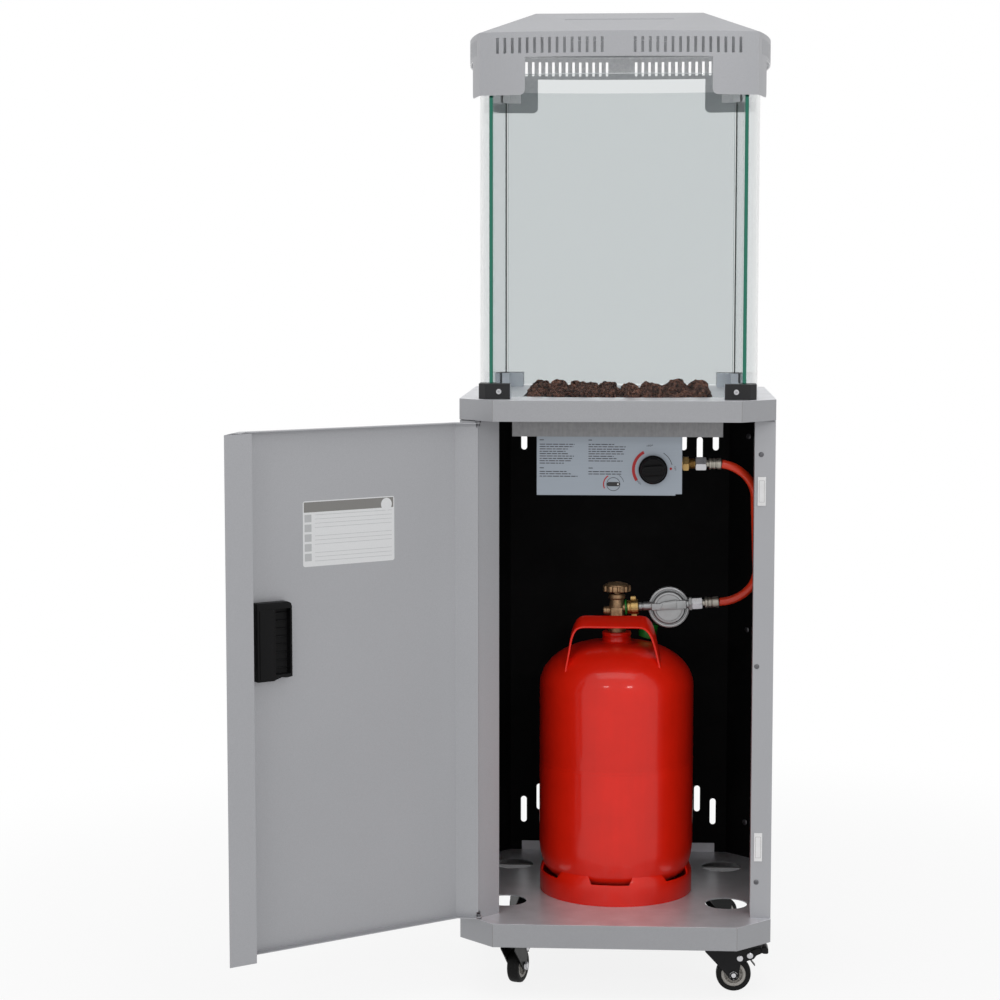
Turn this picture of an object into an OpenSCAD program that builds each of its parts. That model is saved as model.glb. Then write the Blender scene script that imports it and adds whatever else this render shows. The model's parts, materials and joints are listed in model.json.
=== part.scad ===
// Gas patio heater on four castors, with its door standing open.
// Millimetres, Z up. The origin is on the floor, in the middle of the four castors.

/* [Cabinet] */
// Width and depth of the cabinet
plan_w = 435; // [425:1:450]
// Leg of each 45 degree corner of the cabinet
corner_cut = 48.5; // [46:0.5:52]
// Thickness of the outer painted sheet
sheet = 1.5; // [1.2:0.1:1.8]
// Thickness of the inner black sheet
shell_t = 1.2; // [1:0.1:1.5]
// Height of the base tray's skirt above the floor
skirt_z = 75; // [74:0.5:80]
// Height of the base tray
tray_h = 33; // [30:0.5:38]
// Height of the deck's top above the floor
deck_z = 835; // [825:1:850]
// Height of the deck's skirt
deck_h = 29; // [26:0.5:34]
// Width of the square opening in the deck
deck_hole = 264; // [250:1:268]
// Depth of the two front posts along the sides
post_d = 99.5; // [92:0.5:104]
// Width of the right post's front face
post_w = 28.5; // [26:0.5:30]
// Radius of the round holes in the floor
floor_hole_r = 30; // [20:1:32]
// Distance of the floor holes from the middle, sideways
floor_hole_x = 158; // [150:1:162]
// Width of a slot in the back wall
back_slot_w = 9; // [6:0.5:12]
// Height of a slot in the back wall
back_slot_h = 41; // [30:1:44]
// Distance from one slot to the next in the back wall
back_slot_pitch = 49; // [46:0.5:51]

/* [Castors] */
// Distance of each castor's stem from the middle, sideways
castor_x = 145; // [140:0.5:148]
// Distance of each castor's stem from the middle, front to back
castor_y = 150; // [147:0.5:152]
// Diameter of the wheels
wheel_d = 49; // [46:0.5:50]
// Width of the wheels
wheel_w = 17; // [15:0.5:18]
// Distance of the axle behind the stem
trail = 22; // [20:0.5:23]
// Radius of the wheel's rim, where the tyre sits
rim_r = 17.2; // [15:0.1:18.5]
// Radius of the axle bolt
axle_r = 3.5; // [3:0.1:4]

/* [Door] */
// Angle at which the door stands open
door_open = 142.3; // [120:0.1:150]
// Distance of the door's faces inside the cabinet's outline
door_inset = 4.2; // [4:0.1:5]
// Thickness of the door's sheet
door_t = 1.2; // [1:0.1:1.4]
// Gap under and over the door
door_gap = 2; // [1.8:0.1:3]
// Depth of the lips along the door's top and bottom
door_lip = 12; // [10:0.5:13]
// Width of the lip folded back along the door's free edge
door_return = 40; // [34:0.5:42]
// Radius of the hinge pins
pin_r = 2.5; // [2.2:0.1:2.8]
// Radial clearance of a turning pin in its hole
pin_fit = 0.05; // [0.04:0.01:0.08]
// Height of the door handle's cup
cup_h = 104; // [90:1:120]
// Width of the door handle's cup
cup_w = 52; // [40:1:60]

/* [Burner] */
// Half width of the burner tray
burner_half = 146; // [144:0.5:150]
// Height of the burner tray
burner_h = 52.5; // [50:0.5:56]
// Radius of the ring burner
ring_r = 75; // [60:1:90]
// Radius of the ring burner's tube
ring_tube_r = 8; // [7:0.5:9]
// Distance between neighbouring lava rocks
rock_pitch = 33; // [32.5:0.1:33.5]
// Number of lava rocks in each row
rock_n = 8; // [4:1:8]

/* [Glass] */
// Half of the distance between the panes' corners
glass_half = 174.7; // [173:0.1:176]
// How far each pane bows outwards in its middle
bow = 24; // [18:0.5:24]
// Thickness of the glass
glass_t = 5; // [4:0.5:5]
// Height of the glass panes
glass_h = 437; // [400:1:470]
// How far each pane stops short of the corner
pane_short = 4.7; // [4:0.1:6]
// How far the corner brackets stand out past the panes' corners
bracket_out = 15.3; // [14:0.1:17]
// Length of each leg of a corner bracket
bracket_leg = 44; // [38:1:48]
// Height of the corner brackets
bracket_h = 21; // [18:0.5:26]

/* [Hood] */
// How far the hood stands out past the panes' corners
hood_out = 13.5; // [12.5:0.1:15]
// Height of the hood's upright walls
hood_wall_h = 84; // [80:1:92]
// How far the hood's corner legs reach below the top of the glass
hood_overlap = 29; // [26:0.5:34]
// Height of the hood's roof
roof_h = 32.5; // [26:0.5:38]
// Half width of the roof's flat top
roof_top_half = 115; // [100:1:125]
// Half width of the opening in each hood wall
window_half = 126; // [110:1:130]
// Height of the opening in each hood wall
window_h = 50.5; // [40:0.5:52]
// Width of a vent slot in the hood
vent_w = 3.8; // [3:0.1:5]
// Height of a vent slot in the hood
vent_h = 21; // [14:0.5:22]
// Distance from one vent slot to the next
vent_pitch = 10.1; // [9:0.1:10.2]
// Number of vent slots on each half of a wall
vent_n = 15; // [6:1:15]

/* [Controls] */
// Left edge of the control panel
panel_x0 = -112; // [-125:1:-100]
// Right edge of the control panel
panel_x1 = 90; // [86:1:90]
// Height of the control panel
panel_h = 82; // [76:1:90]
// Radius of the control knob
knob_r = 20; // [16:0.5:22]
// Depth of the control knob
knob_d = 18; // [14:0.5:20]
// Travel of the knob when it is pushed
knob_push = 3.5; // [2:0.1:4]
// Place of the knob, sideways
knob_x = 49.7; // [45:0.1:50]

/* [Bottle] */
// Radius of the gas bottle
bottle_r = 112; // [108:0.5:114]
// Height of the bottle's foot ring
foot_h = 43; // [40:1:46]
// Height of the bottle's belly over its bottom, where its sides turn straight
belly_z = 80; // [76:1:84]
// Height of the bottle's shoulder over its bottom
shoulder_z = 302; // [290:1:304]
// Height of the bottle's domed top over its shoulder
dome_h = 64; // [60:1:66]
// Place of the bottle, sideways
bottle_x = -1; // [-2:0.5:1]
// Place of the bottle, front to back
bottle_y = -9; // [-10:0.5:0]
// Outer radius of the bottle's handwheel
handwheel_r = 20.5; // [17:0.5:22]
// Radius of the regulator's round body
regulator_r = 30; // [26:0.5:31]
// Radius of the gas hose
hose_r = 6; // [5:0.5:6]

/* [Hidden] */

$fn = 48;

// Gap between pieces that lie next to each other without touching
gap = 0.3;
// A little more than nothing, for cuts that pass a face
cut_more = 1;

plan_half = plan_w / 2;
tray_z = skirt_z + tray_h;
deck_low_z = deck_z - deck_h;
deck_under_z = deck_z - sheet;

// Black inner shell, just inside the deck's skirt
shell_half = plan_half - sheet - gap;
shell_cut = corner_cut - (plan_half - shell_half) * (2 - sqrt(2));
shell_flat = shell_half - shell_cut;
shell_front_y = -150;

// Front posts
post_back_y = -plan_half + post_d;
post_gap = 1.5;
right_post_x = plan_half - post_w;
right_post_y = -164;
right_post_back_y = -140;
jamb = 40;
rear_post_leg = 12;

// Hinge axis, in the middle of the door's chamfered face
door_half = plan_half - door_inset;
door_cut = corner_cut - door_inset * (2 - sqrt(2));
hinge_x = -door_half + door_cut / 2;
hinge_y = -door_half + door_cut / 2;
hinge_run = 1.8;
door_z0 = tray_z + door_gap;
door_z1 = deck_low_z - door_gap - 1;
pin_collar_r = 4;
pin_reach = 5;
ear_r = 4.5;

// Castor levels, all from the underside of the floor plate down
floor_under_z = tray_z - sheet;
plate_t = 2.5;
plate_z = skirt_z + 1;
rail_z = plate_z + plate_t;
rail_half = 22;
rail_flange = 7;
rail_len = 380;
race_h = 3;
race_r = 17;
crown_z = plate_z - race_h - gap;
crown_t = 1.5;
crown_r = 20;
kingpin_r = 4;
kingpin_head_r = 7;
kingpin_head_t = 1.7;
cheek_t = 1.5;
cheek_in = wheel_w / 2 + 1;
cheek_out = cheek_in + cheek_t;
axle_z = wheel_d / 2;
hub_r = 7;
pedal_x = 44.6;
pedal_z = 53;
pedal_r = 3;
rivet_x = 30.7;
rivet_z = 48.6;
rivet_head_r = 4.2;
plate_len = 62;
plate_wid = 52;
plate_screw = 22;

// Corner positions and rest directions of the four castors
castor_fl = [-castor_x, -castor_y, 71.6];
castor_fr = [castor_x, -castor_y, 0];
castor_rl = [-castor_x, castor_y, 110];
castor_rr = [castor_x, castor_y, 40];
castors = [castor_fl, castor_fr, castor_rl, castor_rr];

// Burner
burner_z = deck_under_z - burner_h;
ledge = 8;
ledge_z = burner_z + 33;
grate_t = 3;
grate_half = burner_half - shell_t - gap;
grate_top_z = ledge_z + shell_t + grate_t;
mixer_r = 9;
mixer_low = 12;
ring_z = burner_z + 18;
rock_r = rock_pitch / 2 - gap;

// Glass and hood
pane_half = glass_half - pane_short;
bracket_half = glass_half + bracket_out;
hood_half = glass_half + hood_out;
glass_z = deck_z + 3;
glass_R = (glass_half * glass_half + bow * bow) / (2 * bow);
glass_top_z = glass_z + glass_h;
hood_R = (hood_half * hood_half + bow * bow) / (2 * bow);
hood_z = glass_top_z - hood_overlap;
eave_z = hood_z + hood_wall_h;
bracket_in = glass_half - 8.7;
bracket_chamfer = 9;
socket_x = bracket_half - 28;
socket_z = deck_z + bracket_h / 2;
clip_from = glass_half - 24.7;
roof_steps = 10;
eave_step = 0.4;

// Controls
panel_y = right_post_back_y;
panel_top_z = burner_z;
panel_z = panel_top_z - panel_h;
panel_back_y = panel_y + shell_t;
notch_w = 9;
notch_h = 2;
knob_z = panel_top_z - 45.7;
knob_gap = 4;
knob_bore = knob_d - 3;
stem_r = 4;
stem_front_y = panel_y - knob_gap - knob_bore + knob_push + 0.5;
stem_back_y = -118;
valve_y = -118;
inlet_z = panel_top_z - 39;

// Bottle
bottle_z = tray_z;
bottom_h = 58;
bottom_round = 0.18;
bottle_wall = 2.6;
body_low_z = bottle_z + belly_z;
bottle_top_z = bottle_z + shoulder_z + dome_h;
neck_r = 21;
neck_h = 14;
valve_r = 10.8;
valve_z = bottle_top_z + neck_h;
outlet_z = bottle_top_z + 48.5;
outlet_tilt = 3.8;
handwheel_z = bottle_top_z + 73;
handwheel_h = 13.5;
spindle_r = 3.5;

// Route of the gas hose, from the ferrule by the panel to the ferrule on the regulator
hose_path = [
    [145.05, -118, 742], [155.8, -116.6, 739.4], [165.7, -114.3, 735], [174.5, -111.1, 729],
    [181.9, -107.2, 721.6], [187.5, -102.7, 713.2], [191.3, -97.8, 703.9], [192.9, -92.7, 694.2],
    [194.5, -78, 666.5], [196.2, -63.4, 638.8], [197.8, -48.7, 611.1], [199.5, -34.1, 583.4],
    [198.7, -28.5, 572.7], [195.4, -23.2, 562.4], [189.5, -18.4, 553], [181.5, -14.5, 545],
    [171.7, -11.5, 538.7], [160.6, -9.6, 534.4], [148.7, -9, 532.4], [146.72, -9, 532.31]
];
hose_sides = 12;

// Square with every side bowed outwards as one arc
module bowed_square(half, R) {
    off = half + bow - R;
    intersection() {
        for_each_side(off, R, 0);
        for_each_side(off, R, 90);
        for_each_side(off, R, 180);
        for_each_side(off, R, 270);
    }
}

module for_each_side(off, R, turn) {
    rotate(turn) translate([0, -off]) circle(r = R, $fn = 360);
}

// Points of one bowed side, for the roof
function side_points(half, R) = [
    for (i = [0 : roof_steps - 1])
        let (x = -half + 2 * half * i / roof_steps)
            [x, -(half + bow - R + sqrt(R * R - x * x))]
];

function turned(p, a) = [p[0] * cos(a) - p[1] * sin(a), p[0] * sin(a) + p[1] * cos(a)];

function bowed_points(half, R) = [
    for (k = [0 : 3]) for (p = side_points(half, R)) turned(p, 90 * k)
];

module octagon(half, leg) {
    a = half - leg;
    polygon([
        [-a, -half], [a, -half], [half, -a], [half, a],
        [a, half], [-a, half], [-half, a], [-half, -a]
    ]);
}

// Strip of sheet along a polyline, its thickness on the left hand
function unit(v) = v / norm(v);
function left_of(v) = [-v[1], v[0]];
function mitre(pts, i, t) =
    let (n = len(pts) - 1)
    let (a = i > 0 ? unit(pts[i] - pts[i - 1]) : unit(pts[1] - pts[0]))
    let (b = i < n ? unit(pts[i + 1] - pts[i]) : a)
    let (m = left_of(a) + left_of(b))
        pts[i] + m * (2 * t / (m * m));
module ribbon(pts, t) {
    n = len(pts) - 1;
    polygon(concat(pts, [for (i = [n : -1 : 0]) mitre(pts, i, t)]));
}

module slot_2d(w, h) {
    translate([0, (h - w) / 2]) circle(d = w, $fn = 24);
    translate([0, -(h - w) / 2]) circle(d = w, $fn = 24);
    square([w, h - w], center = true);
}

module hexagon(af, h) {
    cylinder(r = af / sqrt(3), h = h, $fn = 6);
}

// Cylinder along X or Y from a named start
module along_x(r, x0, x1, y, z) {
    translate([x0, y, z]) rotate([0, 90, 0]) cylinder(r = r, h = x1 - x0);
}

module along_y(r, y0, y1, x, z) {
    translate([x, y0, z]) rotate([-90, 0, 0]) cylinder(r = r, h = y1 - y0);
}

// Base tray, an upside-down pan with four round holes
module base_tray() {
    color("#a9b4be") {
        difference() {
            translate([0, 0, skirt_z]) linear_extrude(tray_h) octagon(plan_half, corner_cut);
            translate([0, 0, skirt_z - cut_more])
                linear_extrude(tray_h - sheet + cut_more)
                    octagon(plan_half - sheet, corner_cut - sheet * (2 - sqrt(2)));
            for (sx = [-1, 1]) for (y = [-90, 122])
                translate([sx * floor_hole_x, y, floor_under_z - cut_more])
                    cylinder(r = floor_hole_r, h = sheet + 2 * cut_more, $fn = 72);
            translate([hinge_x, hinge_y, floor_under_z - cut_more])
                cylinder(r = pin_r + pin_fit, h = sheet + 2 * cut_more);
        }
        translate([-150, shell_half - 2 * shell_t, tray_z - 0.5])
            cube([300, shell_t, 14.5]);
    }
}

// Hat rails under the floor that carry the castors
module castor_rails() {
    color("#9aa5af")
        for (sy = [-1, 1]) translate([0, sy * castor_y, 0])
            difference() {
                rotate([90, 0, 90]) translate([0, 0, -rail_len / 2]) linear_extrude(rail_len)
                    ribbon([
                        [-rail_half - rail_flange, floor_under_z], [-rail_half, floor_under_z],
                        [-rail_half, rail_z + sheet], [rail_half, rail_z + sheet],
                        [rail_half, floor_under_z], [rail_half + rail_flange, floor_under_z]
                    ], -sheet);
                for (sx = [-1, 1]) for (px = [-1, 1]) for (py = [-1, 1])
                    translate([sx * castor_x + px * plate_screw, py * 16, rail_z - cut_more])
                        cylinder(r = 2.5 + pin_fit, h = 4);
            }
}

// Castor plates with raceway and kingpin
module castor_plates() {
    color("#c9cdd0")
        for (c = castors) translate([c[0], c[1], 0]) {
            difference() {
                translate([-plate_len / 2, -plate_wid / 2, plate_z])
                    cube([plate_len, plate_wid, plate_t]);
                for (px = [-1, 1]) for (py = [-1, 1])
                    translate([px * plate_screw, py * 16, plate_z - cut_more])
                        cylinder(r = 2.5 + pin_fit, h = plate_t + 2 * cut_more);
            }
            translate([0, 0, crown_z + gap]) cylinder(r = race_r, h = race_h);
            translate([0, 0, crown_z - crown_t - gap - kingpin_head_t])
                cylinder(r = kingpin_r, h = crown_t + 2 * gap + kingpin_head_t);
            translate([0, 0, crown_z - crown_t - gap - kingpin_head_t])
                cylinder(r = kingpin_head_r, h = kingpin_head_t);
        }
}

// One castor, in its own frame: stem on Z, wheel along +X
module at_castor(c) {
    translate([c[0], c[1], 0]) rotate([0, 0, c[2]]) children();
}

module cheek_outline(braked) {
    polygon([
        [-crown_r + 2, crown_z], [-crown_r + 2, 57], [-1, 39],
        [trail - 7.5, axle_z - 3], [trail + 7.5, axle_z + 2.5], [32, 42],
        [braked ? 48 : 24, 47], [braked ? 49 : 22, 58], [20, crown_z]
    ]);
    translate([trail, axle_z]) circle(r = 8);
}

module fork(braked) {
    color("#1d1d1f")
        difference() {
            union() {
                translate([0, 0, crown_z - crown_t]) cylinder(r = crown_r, h = crown_t);
                translate([-crown_r + 2, -cheek_out, crown_z - crown_t])
                    cube([2 * crown_r - 2, 2 * cheek_out, crown_t]);
                for (s = [-1, 1])
                    translate([0, s > 0 ? cheek_out : -cheek_in, 0])
                        rotate([90, 0, 0]) linear_extrude(cheek_t) cheek_outline(braked);
            }
            translate([0, 0, crown_z - crown_t - cut_more])
                cylinder(r = kingpin_r + pin_fit, h = crown_t + 2 * cut_more);
            along_y(axle_r + pin_fit, -20, 20, trail, axle_z);
            if (braked) along_y(pedal_r + pin_fit, -20, 20, pedal_x, pedal_z);
        }
    if (braked) color("#c9cdd0") {
        for (s = [-1, 1])
            along_y(rivet_head_r, s > 0 ? cheek_out : -cheek_out - 1.2,
                s > 0 ? cheek_out + 1.2 : -cheek_out, rivet_x, rivet_z);
    }
}

module axle() {
    color("#c9cdd0") {
        along_y(axle_r, -cheek_out - 4.5, cheek_out, trail, axle_z);
        translate([trail, cheek_out, axle_z]) rotate([-90, 0, 0]) hexagon(10, 3.5);
        difference() {
            translate([trail, -cheek_out - 3.5, axle_z]) rotate([-90, 0, 0]) hexagon(10, 3.5);
            along_y(axle_r + pin_fit, -cheek_out - 5, -cheek_out + 1, trail, axle_z);
        }
    }
}

module rim() {
    color("#b9bcbd")
        translate([trail, 0, axle_z]) rotate([-90, 0, 0])
            rotate_extrude($fn = 64) polygon([
                [axle_r + pin_fit, -cheek_in + gap], [hub_r, -cheek_in + gap],
                [hub_r, -3], [rim_r - 4, -3], [rim_r - 4, -wheel_w / 2 + 1],
                [rim_r, -wheel_w / 2 + 1], [rim_r, wheel_w / 2 - 1],
                [rim_r - 4, wheel_w / 2 - 1], [rim_r - 4, 3], [hub_r, 3],
                [hub_r, cheek_in - gap], [axle_r + pin_fit, cheek_in - gap]
            ]);
}

module tyre() {
    color("#55585a")
        translate([trail, 0, axle_z]) rotate([-90, 0, 0])
            rotate_extrude($fn = 96) polygon([
                [rim_r + pin_fit, -wheel_w / 2], [wheel_d / 2 - 3, -wheel_w / 2],
                [wheel_d / 2 - 0.8, -wheel_w / 2 + 1.2], [wheel_d / 2, -wheel_w / 2 + 4],
                [wheel_d / 2, wheel_w / 2 - 4], [wheel_d / 2 - 0.8, wheel_w / 2 - 1.2],
                [wheel_d / 2 - 3, wheel_w / 2], [rim_r + pin_fit, wheel_w / 2]
            ]);
}

// Brake pedal, turning on its own rivet through both cheeks
module brake_pedal() {
    color("#232325") {
        translate([0, cheek_in - gap, 0]) rotate([90, 0, 0])
            linear_extrude(2 * (cheek_in - gap)) polygon([
                [40, 50], [43, 46.5], [50, 46.5], [54, 52], [62, 55.5],
                [62, 64], [50, 61.5], [41, 58]
            ]);
        translate([61, -12, 55.5]) cube([9.5, 24, 9.5]);
    }
    color("#c9cdd0") {
        along_y(pedal_r, -cheek_out - 0.6, cheek_out + 0.6, pedal_x, pedal_z);
        for (s = [-1, 1])
            along_y(rivet_head_r, s > 0 ? cheek_out + gap : -cheek_out - gap - 1.2,
                s > 0 ? cheek_out + gap + 1.2 : -cheek_out - gap, pedal_x, pedal_z);
    }
}

module fork_fl() { at_castor(castor_fl) fork(true); }
module fork_fr() { at_castor(castor_fr) fork(true); }
module fork_rl() { at_castor(castor_rl) fork(false); }
module fork_rr() { at_castor(castor_rr) fork(false); }
module axle_fl() { at_castor(castor_fl) axle(); }
module axle_fr() { at_castor(castor_fr) axle(); }
module axle_rl() { at_castor(castor_rl) axle(); }
module axle_rr() { at_castor(castor_rr) axle(); }
module rim_fl() { at_castor(castor_fl) rim(); }
module rim_fr() { at_castor(castor_fr) rim(); }
module rim_rl() { at_castor(castor_rl) rim(); }
module rim_rr() { at_castor(castor_rr) rim(); }
module tyre_fl() { at_castor(castor_fl) tyre(); }
module tyre_fr() { at_castor(castor_fr) tyre(); }
module tyre_rl() { at_castor(castor_rl) tyre(); }
module tyre_rr() { at_castor(castor_rr) tyre(); }
module brake_pedal_fl() { at_castor(castor_fl) brake_pedal(); }
module brake_pedal_fr() { at_castor(castor_fr) brake_pedal(); }

// Room for the hinge pin and the door's ear, cut out of a neighbour
module hinge_room(r) {
    for (z = [tray_z - cut_more, door_z1 - pin_reach])
        translate([hinge_x, hinge_y, z]) cylinder(r = r, h = pin_reach + door_gap + 4);
}

// Left post, with a diagonal jamb behind the hinge
function off_hinge(run, depth) = [
    hinge_x + (run + depth) / sqrt(2), hinge_y + (depth - run) / sqrt(2)
];
function left_corner_y() = off_hinge(-hinge_run, 0)[1] + off_hinge(-hinge_run, 0)[0] + plan_half;
module left_post() {
    color("#a9b4be")
        difference() {
            translate([0, 0, tray_z]) linear_extrude(deck_low_z - post_gap - tray_z)
                ribbon([
                    [-plan_half, post_back_y], [-plan_half, left_corner_y()],
                    off_hinge(-hinge_run, 0), off_hinge(-hinge_run, jamb)
                ], sheet);
            hinge_room(ear_r + 1);
            front_screw_holes();
        }
}

// Right post, which the door closes against
module right_post() {
    color("#a9b4be")
        difference() {
            translate([0, 0, tray_z]) linear_extrude(deck_low_z - post_gap - tray_z)
                ribbon([
                    [plan_half, post_back_y], [plan_half, right_post_y], [right_post_x, right_post_y],
                    [right_post_x, right_post_back_y]
                ], -sheet);
            front_screw_holes();
        }
}

// Rear posts, folded round the rear corners
module rear_posts() {
    a = plan_half - corner_cut;
    color("#a9b4be")
        difference() {
            translate([0, 0, tray_z]) linear_extrude(deck_low_z - post_gap - tray_z)
                for (s = [-1, 1]) ribbon([
                    [s * plan_half, a - rear_post_leg], [s * plan_half, a],
                    [s * a, plan_half], [s * (a - rear_post_leg), plan_half]
                ], s * sheet);
            rear_screw_holes();
        }
}

// Inner cabinet shell, bent from one sheet, with two double rows of slots
module cabinet_shell() {
    color("#1b1c1e")
        difference() {
            translate([0, 0, tray_z]) linear_extrude(deck_under_z - tray_z)
                ribbon([
                    [-shell_half, shell_front_y], [-shell_half, shell_flat],
                    [-shell_flat, shell_half], [shell_flat, shell_half],
                    [shell_half, shell_flat], [shell_half, shell_front_y]
                ], -shell_t);
            back_slots(7, 755.5);
            back_slots(6, 735);
            back_slots(7, 172);
            back_slots(6, 192);
            front_screw_holes();
            rear_screw_holes();
        }
}

module back_slots(n, z) {
    for (i = [0 : n - 1])
        translate([(i - (n - 1) / 2) * back_slot_pitch, shell_half + cut_more, z])
            rotate([90, 0, 0]) linear_extrude(shell_t + 2 * cut_more) slot_2d(back_slot_w, back_slot_h);
}

// Screws that hold the shell to the posts
screw_z = [759, 462, 162];
screw_r = 2.5;
screw_head_r = 4.5;
screw_head_h = 2.2;
screw_len = 2.9;
front_screw_y = -134;
rear_screw_shift = 4.9;

// Frame of a rear screw: +Z points into the cabinet, from the shell's inner face
module rear_screw_frame(s, z) {
    mid = (shell_flat + shell_half - shell_t * sqrt(2)) / 2;
    translate([s * (mid + rear_screw_shift), mid - rear_screw_shift, z])
        rotate([0, 0, s > 0 ? -135 : -45]) rotate([0, 90, 0]) children();
}

module front_screw_holes() {
    for (s = [-1, 1]) for (z = screw_z)
        along_x(screw_r + pin_fit, s * plan_half - 5, s * plan_half + 5, front_screw_y, z);
}

module rear_screw_holes() {
    for (s = [-1, 1]) for (z = screw_z) rear_screw_frame(s, z)
        translate([0, 0, -6]) cylinder(r = screw_r + pin_fit, h = 8);
}

module pan_screw(len) {
    translate([0, 0, -len]) cylinder(r = screw_r, h = len + 0.5);
    rotate_extrude($fn = 32) polygon([
        [0, 0], [screw_head_r, 0], [screw_head_r, 1], [screw_head_r - 1.2, screw_head_h - 0.3],
        [screw_head_r - 2.4, screw_head_h], [0, screw_head_h]
    ]);
}

module pan_head_screws() {
    color("#2a2a2c") {
        for (s = [-1, 1]) for (z = screw_z) rear_screw_frame(s, z) pan_screw(screw_len);
        for (s = [-1, 1]) for (z = screw_z)
            translate([s * (shell_half - shell_t), front_screw_y, z])
                rotate([0, -s * 90, 0]) pan_screw(screw_len);
        for (c = castors) for (px = [-1, 1]) for (py = [-1, 1])
            translate([c[0] + px * plate_screw, c[1] + py * 16, plate_z])
                rotate([180, 0, 0]) pan_screw(6);
    }
}

// White strike pads on the right post
pad_w = 11.4;
pad_h = 40;
pad_t = 2.2;
module strike_pads() {
    color("#e9e9e6")
        for (z = [deck_z - 147, tray_z + 81])
            translate([right_post_x + 4.4, right_post_y - pad_t, z]) cube([pad_w, pad_t, pad_h]);
}

// Deck, a pan with a square opening over the burner
module deck_plate() {
    color("#a9b4be") {
        difference() {
            translate([0, 0, deck_low_z]) linear_extrude(deck_h) octagon(plan_half, corner_cut);
            translate([0, 0, deck_low_z - cut_more])
                linear_extrude(deck_h - sheet + cut_more)
                    octagon(plan_half - sheet, corner_cut - sheet * (2 - sqrt(2)));
            translate([-deck_hole / 2, -deck_hole / 2, deck_low_z])
                cube([deck_hole, deck_hole, deck_h + cut_more]);
        }
        difference() {
            translate([0, 0, deck_low_z]) linear_extrude(sheet) intersection() {
                octagon(plan_half - sheet / 2, corner_cut - sheet / 2 * (2 - sqrt(2)));
                ribbon([off_hinge(-20, -3.5), off_hinge(20, -3.5)], 14);
            }
            translate([hinge_x, hinge_y, deck_low_z - cut_more])
                cylinder(r = pin_r + pin_fit, h = sheet + 2 * cut_more);
        }
        difference() {
            translate([0, 0, deck_under_z - 8]) linear_extrude(8.5)
                square(deck_hole + 2 * sheet, center = true);
            translate([0, 0, deck_under_z - 9]) linear_extrude(11)
                square(deck_hole, center = true);
        }
    }
}

// Burner tray under the deck
module burner_tray() {
    color("#b5bcc2")
        difference() {
            union() {
                translate([0, 0, burner_z]) linear_extrude(burner_h)
                    square(2 * burner_half, center = true);
                translate([0, 0, deck_under_z - shell_t]) linear_extrude(shell_t)
                    square(2 * (burner_half + 10), center = true);
            }
            translate([0, 0, burner_z + shell_t]) linear_extrude(ledge_z - burner_z - shell_t)
                square(2 * (burner_half - shell_t), center = true);
            translate([0, 0, ledge_z - cut_more]) linear_extrude(shell_t + 2 * cut_more)
                square(2 * (burner_half - shell_t - ledge), center = true);
            translate([0, 0, ledge_z + shell_t]) linear_extrude(burner_h)
                square(2 * (burner_half - shell_t), center = true);
            translate([0, 0, burner_z - cut_more]) cylinder(r = mixer_r + gap, h = 4);
            for (a = [0 : 60 : 300]) rotate(a) translate([105, 0, burner_z - cut_more])
                cylinder(r = 9, h = 4);
        }
}

// Rock grate on the burner tray's ledge
module rock_grate() {
    color("#7d7f80")
        translate([0, 0, ledge_z + shell_t]) {
            linear_extrude(grate_t) difference() {
                square(2 * grate_half, center = true);
                square(2 * grate_half - 16, center = true);
            }
            for (i = [0 : 2 * rock_n - 2])
                translate([(i / 2 - (rock_n - 1) / 2) * rock_pitch - 1.5, -grate_half + 4, 0])
                    cube([3, 2 * grate_half - 8, grate_t]);
        }
}

// Ring burner with its cross tube and mixing tube
module main_burner() {
    color("#8f9192") {
        translate([0, 0, ring_z]) rotate_extrude($fn = 96)
            translate([ring_r, 0]) circle(r = ring_tube_r, $fn = 32);
        along_x(6, -ring_r, ring_r, 0, ring_z);
        translate([0, 0, burner_z - mixer_low])
            cylinder(r = mixer_r, h = ring_z - burner_z + mixer_low + 4);
        translate([0, 0, burner_z + shell_t]) cylinder(r = 20, h = 2);
    }
}

// Pilot burner, igniter electrode and thermocouple on one bracket
module pilot_assembly() {
    color("#a08a5a")
        translate([106, -40, burner_z + shell_t]) {
            translate([-14, -8, 0]) cube([28, 16, 1.5]);
            translate([-14, -1, 0]) cube([28, 2, 16]);
            translate([0, 0, 1]) cylinder(r = 4, h = 26);
            translate([-10, 0, 1]) cylinder(r = 1.8, h = 26);
            translate([10, 0, 1]) cylinder(r = 2.5, h = 22);
        }
}

// Lava rocks: every rock is its own solid in its own cell of a grid
function rock_vertex(k, ring, i, seg, h) =
    let (wob = rands(0.8, 1, 1, 31 * k + 7 * ring + 3 * i)[0])
    let (t = ring / 4)
    let (r = rock_r * sin(180 * (0.12 + 0.76 * t)) * wob)
    let (z = h * (1 - cos(180 * t)) / 2 + (rands(-1, 1, 1, 17 * k + ring + 5 * i)[0]))
    let (a = 360 * i / seg + 21 * ring + 40 * k)
        [r * cos(a), r * sin(a), z];

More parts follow.
